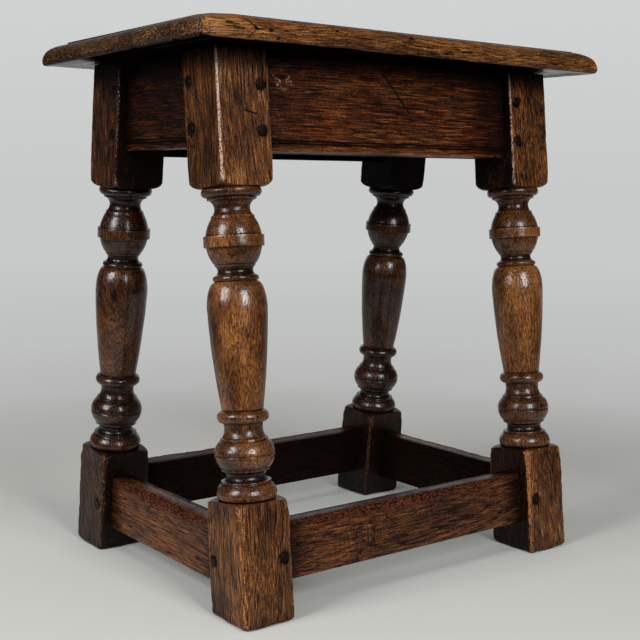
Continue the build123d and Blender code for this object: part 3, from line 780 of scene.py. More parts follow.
class LegWear:
    """How one leg is squared, worn, soiled, painted with shade and toned, in its own frame."""

    def __init__(self, side_x, side_y, length):
        scene = bpy.context.scene
        self.side_x, self.side_y, self.length = side_x, side_y, length
        self.sizes = scene.stool_legs
        self.half = self.sizes.square / 2.0
        self.foot_top, self.head_start = self.sizes.foot_block, length - self.sizes.head_block
        self.pegs, self.from_axis = peg_places(), scene.stool_pegs.from_axis
        self.seed = 11.0 + side_x * 2.0 + side_y * 5.0
        chance = random.Random(int(self.seed))
        self.knocks = [
            (
                chance.uniform(-math.pi, math.pi), chance.uniform(0.1, 0.36),
                chance.uniform(1.5, 4.5) * MM, chance.uniform(0.15, 0.45) * MM
            )
            for _ in range(KNOCKS)
        ]

    def block_share(self, height):
        """1 in the square blocks and 0 on the turning."""
        return max(within(0, 5, height - self.foot_top), within(0, 5, self.head_start - height))

    def turned_radius(self, radius, angle, spot):
        """The turning is a little oval, with the gouge's ripple and a few knocks."""
        oval = 1.0 - 0.006 * (1.0 + math.cos(2.0 * angle + self.seed))
        lump = wander(spot, 16, self.seed) * 0.16 * MM + wander(spot, 5, self.seed) * 0.05 * MM
        knock = 0.0
        for turn, level, reach, depth in self.knocks:
            if abs(level - spot[2]) < reach:
                gap = math.hypot(turn_between(turn, angle) * radius, level - spot[2])
                knock = max(knock, depth * dome(gap / reach))
        return radius * oval + lump - knock - 0.12 * MM

    def patch_and_shading_tone(self, radius, angle, height):
        """How much paler the patches, partly painted light and shade, make a place of the turning.
        """
        tone = 0.0
        for level, turn, reach, paler in LEG_PATCHES_AND_SHADING[self.side_x, self.side_y]:
            across = turn_between(math.radians(turn), angle) * radius
            gap = math.hypot(across, 0.6 * (height - level * MM))
            tone += paler * dome(gap / (reach * MM))
        return tone

    def squared(self, x, y, spot):
        """A place on a planed face, worn corner or sole, and how far it is round the corner."""
        legs, height, seed = self.sizes, spot[2], self.seed
        sign_x, sign_y = (1 if x >= 0 else -1), (1 if y >= 0 else -1)
        limit = self.half - 0.22 * MM + wander((x * 0.3, y * 0.3, height), 30, seed) * 0.22 * MM
        sole = legs.sole * (1.0 + 0.45 * wander(spot, 18, seed + 3)) - height
        if sole > 0.0:
            limit -= legs.sole - math.sqrt(max(legs.sole ** 2 - sole ** 2, 0.0))
        arris = legs.foot_arris if height < self.length / 2.0 else legs.head_arris
        arris *= ARRIS_SHARES[(sign_x == self.side_x) + (sign_y == self.side_y)]
        edge = (sign_x, sign_y, height)
        arris *= 1.0 + 0.35 * wander(edge, 9, seed) + 0.25 * wander(edge, 3, seed)
        to_end = min(abs(height - self.foot_top), abs(height - self.head_start))
        arris *= 1.0 + 0.8 * within(0, 16, to_end)
        a, b = soft_least(abs(x), limit, 0.9 * MM), soft_least(abs(y), limit, 0.9 * MM)
        corner = limit - arris
        on_arris = 0.0
        if a > corner and b > corner:
            gap = math.hypot(a - corner, b - corner)
            if gap > arris:
                a, b = corner + (a - corner) * arris / gap, corner + (b - corner) * arris / gap
            on_arris = min(a - corner, b - corner) / arris
        return sign_x * a, sign_y * b, on_arris

    def rubbed_and_highlight(self, x, y, height):
        """How bare a block's corner is; on the head's corner towards -X and -Y, which faces the
        camera, it also paints a highlight.
        """
        if x < 0.0 and y < 0.0 and height > self.length / 2.0:
            return HEAD_RUBBED_AND_HIGHLIGHT[self.side_x, self.side_y]
        return FOOT_RUBBED[self.side_y]

    def dirt_and_shade(self, x, y, spot):
        """Painted shadow darkens the head under the seat, and dirt gathers at the floor and round
        the pegs.
        """
        height = spot[2]
        grime = 0.62 * within(4, 32, self.length - height) + 0.22 * within(0, 9, height)
        for on_long, level, _ in self.pegs:
            out, across = self.side_x * x, y + self.side_y * self.from_axis
            if on_long:
                out, across = self.side_y * y, x + self.side_x * self.from_axis
            if out > self.half - 2 * MM:
                gap = math.hypot(across, height - level)
                gap *= 1.0 + 0.3 * wander(spot, 4, self.seed + 9)
                grime += 1.1 * within(3.6, 6.4, gap)
        return grime

    def face_tone_and_shade(self, x, y, height, on_arris):
        """Flat faces are darker than the turning, most of all those that look inwards, where the
        darkness is painted shade.
        """
        side_x, side_y, half = self.side_x, self.side_y, self.half
        end_face = abs(x) >= abs(y) and abs(x) > 0.75 * half
        inward = side_x * x < 0.0 if end_face else side_y * y < 0.0
        tone = -0.48 if inward else (-0.13 if end_face else -0.16)
        if height > self.length / 2.0:
            tone += -0.07 if end_face else 0.08
            if end_face and side_x < 0 < side_y:
                tone += 0.07
        elif side_x > 0:
            if side_y > 0:
                tone += 0.24 * within(8, 26, self.foot_top - height)
            elif end_face and inward:
                tone -= 0.12
            if x < 0.0:
                tone *= 1.0 - (1.0 if side_y < 0 else 0.45) * smoothstep(0.0, 0.5, on_arris)
        elif side_y < 0:
            stain = math.hypot(math.hypot(x + half, y - 0.7 * half), height - 8 * MM)
            tone -= 0.22 * within(4, 26, stain)
        return tone

    def levelled(self, y, height):
        """How far the rake lifts a place so that the foot and the head end level."""
        foot_share = max(0.0, 1.0 - height / (self.foot_top - 12 * MM))
        from_top = self.length - height
        head_share = max(0.0, 1.0 - from_top / (self.sizes.head_block - 12 * MM))
        return -self.side_y * y * math.tan(self.sizes.rake) * (foot_share + head_share)


def build_leg(side_x, side_y, profile, length, material):
    """Spins one leg, squares its blocks, wears it and leans it."""
    leg = LegWear(side_x, side_y, length)
    mesh = bmesh.new()
    layers = float_layers(mesh, "wear", "grime", "turned", "tone")
    verts = []
    for radius, height, wear, grime, tone in profile:
        vert = mesh.verts.new((radius, 0.0, height))
        store(vert, layers, wear=wear, grime=grime, tone=tone)
        verts.append(vert)
    edges = [mesh.edges.new(pair) for pair in zip(verts, verts[1:])]
    bmesh.ops.spin(
        mesh, geom=verts + edges, cent=(0, 0, 0), axis=(0, 0, 1), angle=2.0 * math.pi,
        steps=leg.sizes.steps, use_merge=True, use_normal_flip=False, use_duplicate=False
    )
    bmesh.ops.remove_doubles(mesh, verts=mesh.verts, dist=1e-6)
    for vert in mesh.verts:
        wear, grime, tone = [vert[layers[name]] for name in ("wear", "grime", "tone")]
        x, y, height = vert.co
        radius, angle = math.hypot(x, y), math.atan2(y, x)
        block = leg.block_share(height)
        angle += block * 0.16 * math.sin(4.0 * angle)
        spot = (radius * math.cos(angle), radius * math.sin(angle), height)
        if block < 1.0:
            tone += leg.patch_and_shading_tone(radius, angle, height)
            radius = radius * block + leg.turned_radius(radius, angle, spot) * (1.0 - block)
        x, y = radius * math.cos(angle), radius * math.sin(angle)
        if block > 0.0:
            x, y, on_arris = leg.squared(x, y, spot)
            if radius > 27 * MM:
                wear += smoothstep(0.0, 0.3, on_arris) * leg.rubbed_and_highlight(x, y, height)
            grime += leg.dirt_and_shade(x, y, spot)
            tone = tone * (1.0 - block) + leg.face_tone_and_shade(x, y, height, on_arris) * block
        store(
            vert, layers, wear=min(LEG_MOST, wear), grime=min(LEG_MOST, grime), turned=1.0 - block,
            tone=tone
        )
        vert.co = (x, y, height + leg.levelled(y, height))
    mesh.transform(leg_frame(side_x, side_y))
    name = "leg_" + LEG_NAMES[side_x, side_y]
    finish_piece(name + "_oak", mesh, material, "leg_oak", name)


class STOOL_OT_legs(bpy.types.Operator):
    """Turn the four legs, with their worn blocks"""

    bl_idname = "stool.legs"
    bl_label = "Legs"

    def execute(self, context):
        legs = context.scene.stool_legs
        length = seat_underside() / math.cos(legs.rake)
        profile = leg_profile(legs, length)
        for (side_x, side_y), name in LEG_NAMES.items():
            seed = 3.0 + side_x + 2.0 * side_y
            axis = Vector((side_x * legs.foot_x, side_y * legs.foot_y * 0.8, 0.0))
            pith = axis + Vector((-side_x * 31 * MM, side_y * (24 + 6 * side_x) * MM, 0.0))
            material = oak_material(
                "oak_leg_" + name, (side_y * legs.rake, 0.0, 0.7 * seed), pith, seed * 13.0,
                tone=LEG_TONES[side_x, side_y],
                marks=marks_on(1, -108.0, 0.05, LEG_MARKS) if name == "front_left" else ()
            )
            build_leg(side_x, side_y, profile, length, material)
        return {"FINISHED"}


# ---- Boards ----
def bisect_all(mesh, axis, places):
    """Cuts every face of a mesh across an axis, at each place."""
    normal = Vector((0.0, 0.0, 0.0))
    normal[axis] = 1.0
    for place in places:
        bmesh.ops.bisect_plane(
            mesh, geom=mesh.verts[:] + mesh.edges[:] + mesh.faces[:], dist=1e-7,
            plane_co=normal * place, plane_no=normal
        )


def steps_between(low, high, spacing):
    """Even steps between two lengths, without the ends."""
    count = max(1, round((high - low) / spacing))
    return [low + (high - low) * step / count for step in range(1, count)]


def board_mesh(half_length, thickness, height, cell, arris, heights, depths=()):
    """A board along X, its outer face at Y 0 and its lower edge at Z 0, ready to be worn."""
    mesh = bmesh.new()
    bmesh.ops.create_cube(mesh, size=1.0)
    bmesh.ops.scale(mesh, vec=(2.0 * half_length, thickness, height), verts=mesh.verts)
    bmesh.ops.translate(mesh, vec=(0.0, thickness / 2.0, height / 2.0), verts=mesh.verts)
    long_edges = [e for e in mesh.edges if abs(e.verts[0].co.x - e.verts[1].co.x) > half_length]
    bmesh.ops.bevel(
        mesh, geom=long_edges, offset=arris, offset_type="OFFSET", segments=3, profile=0.5,
        affect="EDGES", material=-1, clamp_overlap=True
    )
    bisect_all(mesh, 0, steps_between(-half_length, half_length, cell))
    bisect_all(mesh, 2, heights)
    bisect_all(mesh, 1, depths or steps_between(arris, thickness - arris, cell * 1.5))
    return mesh


class RailPlace:
    """Where one rail goes: its half length at each height, and the map from board to stool."""

    def __init__(self, kind, along_x, side):
        scene = bpy.context.scene
        rails = scene.stool_rails
        self.legs = scene.stool_legs
        self.half = self.legs.square / 2.0
        self.along_x, self.side = along_x, side
        reach = "long" if along_x else "short"
        upright = math.cos(self.legs.rake) if along_x else 1.0
        height = getattr(rails, f"{reach}_{kind}")
        self.inset = getattr(rails, f"{reach}_{kind}_inset")
        self.thickness = getattr(rails, kind)
        if kind == "apron":
            self.high = seat_underside() / upright
            self.low = self.high - height
        else:
            self.low = getattr(rails, f"{reach}_stretcher_rise") / upright
            self.high = self.low + height
        # The long aprons lean with the legs, and their top is planed level under the seat.
        self.level_top = along_x and kind == "apron"
        self.half_length = self.legs.foot_x - self.half if along_x else self.inner_face(self.low)

    def inner_face(self, level):
        rake = self.legs.rake
        return self.legs.foot_y - level * math.tan(rake) - self.half / math.cos(rake)

    def to_stool(self, point):
        """A point of the board, in the stool's frame."""
        lean, upright = math.sin(self.legs.rake), math.cos(self.legs.rake)
        x, depth, height = point
        rise = self.low + height
        if not self.along_x:
            y = x / self.half_length * self.inner_face(rise)
            out = self.legs.foot_x + self.half - self.inset - depth
            return Vector((self.side * out, y, rise))
        behind = self.inset - self.half + depth
        if self.level_top:
            share = smoothstep(0.55, 1.0, height / (self.high - self.low))
            rise += behind * lean / upright * share
        y = -self.legs.foot_y + rise * lean + behind * upright
        return Vector((x, -self.side * y, rise * upright - behind * lean))


def build_apron(place, name, seed, material):
    """An apron with its two scratched lines and worn lower arris."""
    rails = bpy.context.scene.stool_rails
    height = place.high - place.low
    arris = 1.1 * MM
    cuts = []
    grooves = [rails.groove_rise, rails.groove_rise + rails.groove_spacing]
    for middle in grooves:
        cuts += [middle + rails.groove * share for share in (-0.5, -0.28, 0.0, 0.28, 0.5)]
    cuts += steps_between(arris, grooves[0] - rails.groove / 2.0, 1.6 * MM)
    cuts += [grooves[1] + rails.groove * 0.5 + 1.2 * MM]
    cuts += steps_between(grooves[1] + 2.6 * MM, height - arris, 4.0 * MM)
    mesh = board_mesh(
        place.half_length + RAIL_EMBED, place.thickness, height, 3.0 * MM, arris, heights=cuts
    )
    layers = float_layers(mesh, "wear", "grime", "tone")
    for vert in mesh.verts:
        x, depth, rise = vert.co
        wear, grime, tone = 0.0, 0.0, 0.0
        if place.along_x and place.side < 0:
            # The front apron has patches, dark ends and a scuff.
            for spot_x, spot_drop, reach, paler in APRON_PATCHES:
                gap = math.hypot(x - spot_x * MM, (rise - height + spot_drop * MM) * 1.6)
                tone += paler * dome(gap / (reach * MM))
            tone -= 0.30 * beyond(78, 124, x) + 0.10 * beyond(90, 130, -x)
            scuff = within(5, 16, math.hypot(x + 121 * MM, (rise - height + 24 * MM) * 1.2))
            wear += scuff * max(0.0, 0.35 + 1.4 * wander((x, 0, rise), 5, 2.0))
        lump = wander((x, depth, rise), 26, seed) * 0.22 * MM
        if depth < 0.2 * MM:
            inward = 0.25 * MM + lump
            for middle in grooves:
                gap = abs(rise - middle)
                share = gap / (rails.groove * 0.5)
                if share < 0.99:
                    uneven = 1.0 + 0.2 * wander((x, 0, middle), 8, seed)
                    inward += rails.groove_depth * (1.0 - share ** 3) * uneven
                grime += max(0.0, 1.0 - gap / MM)
            depth += inward
        elif depth > place.thickness - 0.2 * MM:
            depth -= 0.25 * MM + lump
        low_edge = within(0, 2.4, rise)
        if low_edge > 0.0 and depth < 3 * MM:
            chip = max(0.0, wander((x, 0, 0), 12, seed + 2)) * 0.8 * MM + 0.2 * MM
            depth += chip * low_edge
            rise += chip * low_edge * 0.6
            wear += 0.5 * low_edge
        # Painted shade, with some dirt, darkens the apron under the seat, beside the legs and on
        # the back; it is paler near the lower edge.
        grime += 0.50 * within(4, 26, height - rise)
        grime += 0.42 * within(0, 13, place.half_length - abs(x))
        grime += 0.9 * smoothstep(place.thickness * 0.25, place.thickness * 0.7, depth)
        tone += 0.12 * within(4, 40, rise)
        vert.co = place.to_stool((x, depth, rise))
        store(vert, layers, wear=min(BOARD_MOST, wear), grime=min(BOARD_MOST, grime), tone=tone)
    finish_piece(name + "_oak", mesh, material, "apron_oak", name)


def build_stretcher(place, name, seed, material):
    """A stretcher whose upper outer corner is worn and bruised by feet."""
    rails = bpy.context.scene.stool_rails
    height = place.high - place.low
    arris = 1.0 * MM
    fine_from, fine_to = height - 14 * MM, 11 * MM
    heights = steps_between(arris, fine_from, 3.5 * MM)
    heights += steps_between(fine_from, height - arris, 1.3 * MM)
    depths = steps_between(arris, fine_to, 1.3 * MM)
    depths += steps_between(fine_to, place.thickness - arris, 3.0 * MM)
    mesh = board_mesh(
        place.half_length + RAIL_EMBED, place.thickness, height, 2.0 * MM, arris, heights, depths
    )
    layers = float_layers(mesh, "wear", "grime", "bruise")
    for vert in mesh.verts:
        x, depth, rise = vert.co
        wear = 0.0
        spot = (x, depth, rise)
        lump = 0.3 * MM + wander(spot, 24, seed) * 0.25 * MM
        if depth < 0.2 * MM:
            depth += lump
        elif depth > place.thickness - 0.2 * MM:
            depth -= lump
        if rise > height - 0.2 * MM:
            rise -= lump
        elif rise < 0.2 * MM:
            rise += lump
        # Feet have rubbed the upper outer corner round, most near the middle.
        middle = max(0.0, 1.0 - (x / place.half_length) ** 4)
        ripple = 0.8 + 0.5 * wander((x, 0, 0), 34, seed) + 0.3 * wander((x, 0, 0), 9, seed)
        reach = max(1.6 * MM + rails.foot_wear * middle * ripple, 1.2 * MM)
        a, b = depth, height - rise
        if a < reach and b < reach:
            gap = math.hypot(reach - a, reach - b)
            if gap > reach:
                pits = max(0.0, wander(spot, 2.6, seed + 4)) * 0.7 * MM * middle
                share = (reach - pits) / gap
                a, b = reach - (reach - a) * share, reach - (reach - b) * share
        depth, rise = a, height - b
        faded = 2.1 + 0.7 * wander(spot, 6, seed + 8)
        near = 1.0 - smoothstep(0.8, faded, math.hypot(a, b) / max(reach, 3 * MM))
        bruise = near * middle ** 0.5 * (0.9 + 0.5 * wander(spot, 7, seed + 6))
        low_edge = within(0, 3, rise)
        if depth < 3 * MM and low_edge > 0.0:
            depth += 0.5 * MM * low_edge * (1.0 + wander((x, 0, 0), 10, seed))
            wear += 0.25 * low_edge
        # Painted shade, with some dirt, darkens the stretcher beside the legs and on its inner
        # face.
        grime = 0.60 * within(0, 30, place.half_length - abs(x))
        grime += 0.9 * smoothstep(place.thickness * 0.6, place.thickness * 0.95, depth)
        vert.co = place.to_stool((x, depth, rise))
        store(
            vert, layers, wear=min(BOARD_MOST, wear), grime=min(BOARD_MOST, grime),
            bruise=min(1.0, max(0.0, bruise))
        )
    finish_piece(name + "_oak", mesh, material, "stretcher_oak", name)


def board_grain(along_x):
    """Turn that lays the grain along a rail."""
    return (0.0, math.pi / 2.0, 0.0) if along_x else (math.pi / 2.0, 0.0, 0.0)


# Looks of the aprons and of the stretchers. Piths lie behind and above a long and a short rail, in
# millimetres. Tones are for the two as well. Seeds are the material's first, its step, and the
# shape's first.
RAIL_LOOKS = {
    "apron": {
        "build": build_apron, "piths": ((60, 34), (55, 25)), "tones": (-0.23, -0.52),
        "seeds": (31.0, 9.0, 40.0), "wood": {"red": 0.9, "mottling": 0.4},
        "front": {"marks": marks_on(1, -97.0, 0.05, APRON_MARKS)},
    },
    "stretcher": {
        "build": build_stretcher, "piths": ((46, -30), (14, -66)), "tones": (-0.22, -0.08),
        "seeds": (71.0, 7.0, 60.0), "wood": {"red": 0.4, "mottling": 0.6},
        "front": {"marks": marks_on(1, -130.0, 0.05, STRETCHER_MARKS), "rays": STRETCHER_RAYS},
    },
}


def build_rails(kind):
    """The four aprons or the four stretchers."""
    look = RAIL_LOOKS[kind]
    first, step, shape = look["seeds"]
    for index, ((along_x, side), name) in enumerate(SIDE_NAMES.items()):
        place = RailPlace(kind, along_x, side)
        behind, above = look["piths"][0 if along_x else 1]
        behind *= -side * MM
        middle = place.to_stool((0.0, place.thickness / 2.0, (place.high - place.low) / 2.0))
        offset = (0.0, behind, above * MM) if along_x else (behind, 0.0, above * MM)
        material = oak_material(
            f"oak_{kind}_{name}", board_grain(along_x), middle + Vector(offset),
            first + step * index, tone=look["tones"][0 if along_x else 1], **look["wood"],
            **(look["front"] if name == "front" else {})
        )
        look["build"](place, f"{kind}_{name}", shape + index, material)


class STOOL_OT_aprons(bpy.types.Operator):
    """Plane the four aprons and scratch the lines along their lower edges"""

    bl_idname = "stool.aprons"
    bl_label = "Aprons"

    def execute(self, context):
        build_rails("apron")
        return {"FINISHED"}


class STOOL_OT_stretchers(bpy.types.Operator):
    """Plane the four stretchers and wear their upper corners"""

    bl_idname = "stool.stretchers"
    bl_label = "Stretchers"

    def execute(self, context):
        build_rails("stretcher")
        return {"FINISHED"}


# ---- Seat board ----
def gathered(share, pull=0.6):
    """Moves a place from -1 to 1 towards the ends, so that mesh cells gather there."""
    return share + pull * math.sin(math.pi * share) / math.pi


def seat_grid(mesh, half_x, half_y, cells_x, cells_y, level):
    """A grid whose cells are smaller towards its edges."""
    made = bmesh.ops.create_grid(mesh, x_segments=cells_x, y_segments=cells_y, size=1.0)
    for vert in made["verts"]:
        vert.co = (half_x * gathered(vert.co.x), half_y * gathered(vert.co.y), level)


def seat_rings(seat):
    """Outward reach and height of each ring round the field, down the moulding and under it."""
    rings = [(0.25, -0.15), (0.45, -0.5), (0.55, -seat.step / MM + 0.35), (0.9, -seat.step / MM)]
    drop = seat.thickness - seat.step - seat.rim
    count = 16
    for step in range(1, count + 1):
        angle = math.pi / 2.0 * step / count
        out = seat.thumbnail * math.sin(angle) / MM
        if out > 2.0:
            rings.append((out, -seat.step / MM - drop * (1.0 - math.cos(angle)) / MM))
    rings.append((seat.thumbnail / MM, -(seat.thickness - (seat.rim + seat.arris) / 2.0) / MM))
    for step in range(6):
        angle = math.pi / 2.0 * step / 5
        rings.append((
            (seat.thumbnail - seat.arris * (1.0 - math.cos(angle))) / MM,
            -(seat.thickness - seat.arris * (1.0 - math.sin(angle))) / MM,
        ))
    rings += [(out, -seat.thickness / MM) for out in (14.0, 9.5, 5.0, 0.0)]
    return [(out * MM, rise * MM) for out, rise in rings]


def seat_mesh(seat, half_x, half_y):
    """The sharp board: a raised field, a thumbnail moulding and a flat underside."""
    cells_x, cells_y = round(seat.length / seat.cell), round(seat.width / seat.cell)
    mesh = bmesh.new()
    seat_grid(mesh, half_x, half_y, cells_x, cells_y, 0.0)
    border = [edge for edge in mesh.edges if edge.is_boundary]
    for out, rise in seat_rings(seat):
        made = bmesh.ops.extrude_edge_only(mesh, edges=border)["geom"]
        edges = [item for item in made if isinstance(item, bmesh.types.BMEdge)]
        border = [edge for edge in edges if edge.is_boundary]
        ring = {vert for edge in border for vert in edge.verts}
        for vert in ring:
            vert.co.z = rise
        reach_x = max(vert.co.x for vert in ring)
        reach_y = max(vert.co.y for vert in ring)
        bmesh.ops.scale(
            mesh, vec=((half_x + out) / reach_x, (half_y + out) / reach_y, 1.0), verts=list(ring)
        )
    seat_grid(mesh, half_x, half_y, cells_x, cells_y, -seat.thickness)
    bmesh.ops.remove_doubles(mesh, verts=mesh.verts, dist=1e-6)
    return mesh


def build_seat(material):
    """The seat board, with its wear."""
    seat = bpy.context.scene.stool_seat
    half_x = seat.length / 2.0 - seat.thumbnail
    half_y = seat.width / 2.0 - seat.thumbnail
    mesh = seat_mesh(seat, half_x, half_y)
    layers = float_layers(mesh, "wear", "grime", "tone", "endwise", "turned")
    limit_x, limit_y = seat.length / 2.0, seat.width / 2.0
    low = -seat.thickness
    for vert in mesh.verts:
        x, y, drop = vert.co
        wear, grime, tone, endwise, polish = 0.0, 0.0, 0.0, 0.0, 0.0
        spot = (x, y, drop)
        in_field = drop > -0.05 * MM
        # Corners are rounded in plan, one of them more.
        reach = seat.worn_corner if x < 0.0 and y < 0.0 else seat.corner
        rounding = max(0.0, reach - min(limit_x - abs(x), limit_y - abs(y)))
        a, b = abs(x) - (limit_x - reach), abs(y) - (limit_y - reach)
        if a > 0.0 and b > 0.0:
            gap = math.hypot(a, b)
            if gap > rounding:
                x = math.copysign(limit_x - reach + a * rounding / gap, x)
                y = math.copysign(limit_y - reach + b * rounding / gap, y)
        edge = min(limit_x - abs(x), limit_y - abs(y))
        # The step round the field is worn away, but for one end.
        worn = within(-60, 70, y) if x < -half_x else 0.9 if y < 0.0 else 0.45
        if drop < -0.1 * MM:
            out = min(1.0, max(0.0, 1.0 - edge / seat.thumbnail))
            drop += 0.85 * worn * min(-drop, seat.step) * (1.0 - out) ** 2
        corner = math.hypot(x + limit_x, y + limit_y)
        if drop > low + seat.rim:
            drop -= seat.corner_wear * within(20, 48, corner)
        lump = wander(spot, 38, 5.0) * 0.4 + wander(spot, 13, 6.0) * 0.16
        if in_field:
            # The field is polished and a little hollow where people sit.
            hollow = (1.0 - (x / half_x) ** 2) * (1.0 - (y / half_y) ** 2)
            drop -= seat.hollow * hollow + 0.12 * MM + abs(lump) * 0.2 * MM
            wear += 0.25 + 0.25 * hollow
        elif drop > low + seat.rim:
            drop += (lump * 0.45 - 0.25) * MM
            wear += 0.18 * beyond(0, 9, -drop)
        elif drop > low + 0.1 * MM:
            pull = 0.3 * MM + 0.25 * MM * lump
            x -= math.copysign(pull, x) if limit_x - abs(x) < limit_y - abs(y) else 0.0
            y -= math.copysign(pull, y) if limit_y - abs(y) <= limit_x - abs(x) else 0.0
        if edge < 5 * MM and drop < low + seat.rim + 1 * MM:
            # Knocks have lifted the lower arris here and there, and one end has a long chip.
            lift = max(0.0, wander((x, y, 0.0), 30, 8.0)) * 1.4 * MM
            lift += max(0.0, wander((x, y, 0.0), 10, 9.0)) * 0.8 * MM
            if x < -limit_x + 9 * MM:
                lift += 2.6 * MM * beyond(-112, -92, y) * within(-44, -20, y)
            lift *= 1.0 - smoothstep(low + 2 * MM, low + seat.rim + 1 * MM, drop)
            drop += lift * within(1.5, 5, edge)
            wear += 0.2
        if drop > -4 * MM:
            step_gap = abs(edge - seat.thumbnail + 0.7 * MM)
            grime += 0.55 * (1.0 - worn) * within(0.3, 1.6, step_gap)
        if drop < low + 1.5 * MM and edge > 2.6 * MM:
            # The underside is painted dark as shade, and sleek at the corners where hands lift the
            # seat.
            if x >= 0.0 or y >= 0.0:
                from_corner = limit_x - abs(x) + limit_y - abs(y)
                polish = within(26, 46, edge) * within(70, 100, from_corner)
            grime += 1.2 - 0.95 * polish
            tone -= 0.40
            wear = 0.0
        if limit_x - abs(x) < min(seat.thumbnail, limit_y - abs(y)) and drop < -0.5 * MM:
            # End grain is darker and coarse.
            endwise = beyond(0, 3, limit_y - abs(y) - limit_x + abs(x))
            grime += 0.5 * endwise * within(1, 4, drop - low)
            tone -= 0.33 * endwise
        if drop > low + 1.0 * MM:
            tone += 0.05 * within(8, 24, corner) * (0.8 + wander(spot, 4, 3.0))
        vert.co = (x, y, seat.top + drop)
        store(
            vert, layers, wear=min(BOARD_MOST, wear), grime=min(BOARD_MOST, grime), tone=tone,
            endwise=endwise, turned=polish
        )
    finish_piece("seat_board_oak", mesh, material, "seat_oak", "seat_board")


class STOOL_OT_seat(bpy.types.Operator):
    """Model the seat board with its moulded and worn edges"""

    bl_idname = "stool.seat"
    bl_label = "Seat board"

    def execute(self, context):
        top = context.scene.stool_seat.top
        marks = marks_on(1, -136.0, 0.1, SEAT_FRONT_MARKS, top)
        marks += marks_on(0, -223.0, 0.1, SEAT_END_MARKS, top)
        material = oak_material(
            "oak_seat", board_grain(True), (0.0, 22 * MM, top + 52 * MM), 91.0, tone=-0.03,
            marks=marks, red=0.05
        )
        build_seat(material)
        return {"FINISHED"}


# ---- Pegs ----
def add_peg(mesh, radius, length, matrix, seed):
    """Adds one cleft peg: a many-sided, slightly tapered pin with a hammered head."""
    peg = bmesh.new()
    bmesh.ops.create_cone(
        peg, cap_ends=True, cap_tris=False, segments=14, radius1=radius * 0.9, radius2=radius,
        depth=length
    )
    bmesh.ops.translate(peg, vec=(0.0, 0.0, -length / 2.0), verts=peg.verts)
    head = [edge for edge in peg.edges if all(vert.co.z > -1e-5 for vert in edge.verts)]
    bmesh.ops.bevel(
        peg, geom=head, offset=radius * 0.2, offset_type="OFFSET", segments=2, profile=0.5,
        affect="EDGES", material=-1
    )
    caps = [
        face for face in peg.faces
        if len(face.verts) > 8 and face.calc_center_median().z > -1e-4
    ]
    bmesh.ops.inset_individual(peg, faces=caps, thickness=radius * 0.35, depth=0.0)
    for vert in peg.verts:
        angle = math.atan2(vert.co.y, vert.co.x)
        # Lumps of 0.9 m on a circle of 1 m give the pin a few flats.
        lump = wander((math.cos(angle), math.sin(angle), seed), 900, seed)
        vert.co.x *= 1.0 + 0.2 * lump
        vert.co.y *= 1.0 + 0.2 * lump
        if vert.co.z > -radius:
            vert.co.z += 0.16 * MM * wander((vert.co.x, vert.co.y, 0.0), 2.5, seed)
    peg.transform(matrix)
    pin = bpy.data.meshes.new("pin")
    peg.to_mesh(pin)
    peg.free()
    mesh.from_mesh(pin)
    bpy.data.meshes.remove(pin)


def facing(origin, outward, turn):
    """Matrix whose Z points outward at an origin."""
    upright = outward.to_track_quat("Z", "Y").to_matrix().to_4x4()
    return Matrix.Translation(origin) @ upright @ Matrix.Rotation(turn, 4, "Z")


class STOOL_OT_pegs(bpy.types.Operator):
    """Drive the pegs of the joints and of the seat"""

    bl_idname = "stool.pegs"
    bl_label = "Pegs"

    def execute(self, context):
        scene = context.scene
        legs, pegs, seat = scene.stool_legs, scene.stool_pegs, scene.stool_seat
        out = legs.square / 2.0 + pegs.proud
        material = oak_material(
            "oak_pegs", (0.0, 0.0, 0.0), (0.02, 0.03, 0.0), 5.0, tone=-0.52, ring=1.6
        )
        for (side_x, side_y), name in LEG_NAMES.items():
            matrix = leg_frame(side_x, side_y)
            for at_foot, kind in ((False, "apron"), (True, "stretcher")):
                mesh = bmesh.new()
                for on_long, level, low in peg_places():
                    if low != at_foot:
                        continue
                    local = Vector((side_x * out, -side_y * pegs.from_axis, level))
                    outward = Vector((side_x, 0.0, 0.0))
                    if on_long:
                        local = Vector((-side_x * pegs.from_axis, side_y * out, level))
                        outward = Vector((0.0, side_y, 0.0))
                    seed = level * 100.0 + side_x + 3.0 * side_y
                    place = facing(matrix @ local, matrix.to_3x3() @ outward, seed)
                    add_peg(mesh, pegs.radius, pegs.length, place, seed)
                layers = float_layers(mesh, "grime")
                for vert in mesh.verts:
                    store(vert, layers, grime=0.4)
                node = f"{kind}_pegs_{name}"
                finish_piece(node + "_oak", mesh, material, "peg_oak", node)
        # The seat's pegs lie just below the worn field.
        mesh = bmesh.new()
        head_y = legs.foot_y - seat_underside() * math.tan(legs.rake)
        for side_x, side_y in LEG_NAMES:
            x, y = side_x * (legs.foot_x - pegs.seat_offset), side_y * (head_y - pegs.seat_offset)
            hollow = (1.0 - (x / (seat.length / 2.0)) ** 2) * (1.0 - (y / (seat.width / 2.0)) ** 2)
            place = Vector((x, y, seat.top - 0.05 * MM - seat.hollow * hollow * 0.6))
            matrix = facing(place, Vector((0, 0, 1)), side_x + side_y)
            add_peg(mesh, pegs.seat_radius, pegs.seat_length, matrix, 9.0 + side_x + 2 * side_y)
        finish_piece("seat_pegs_oak", mesh, material, "peg_oak", "seat_pegs")
        return {"FINISHED"}


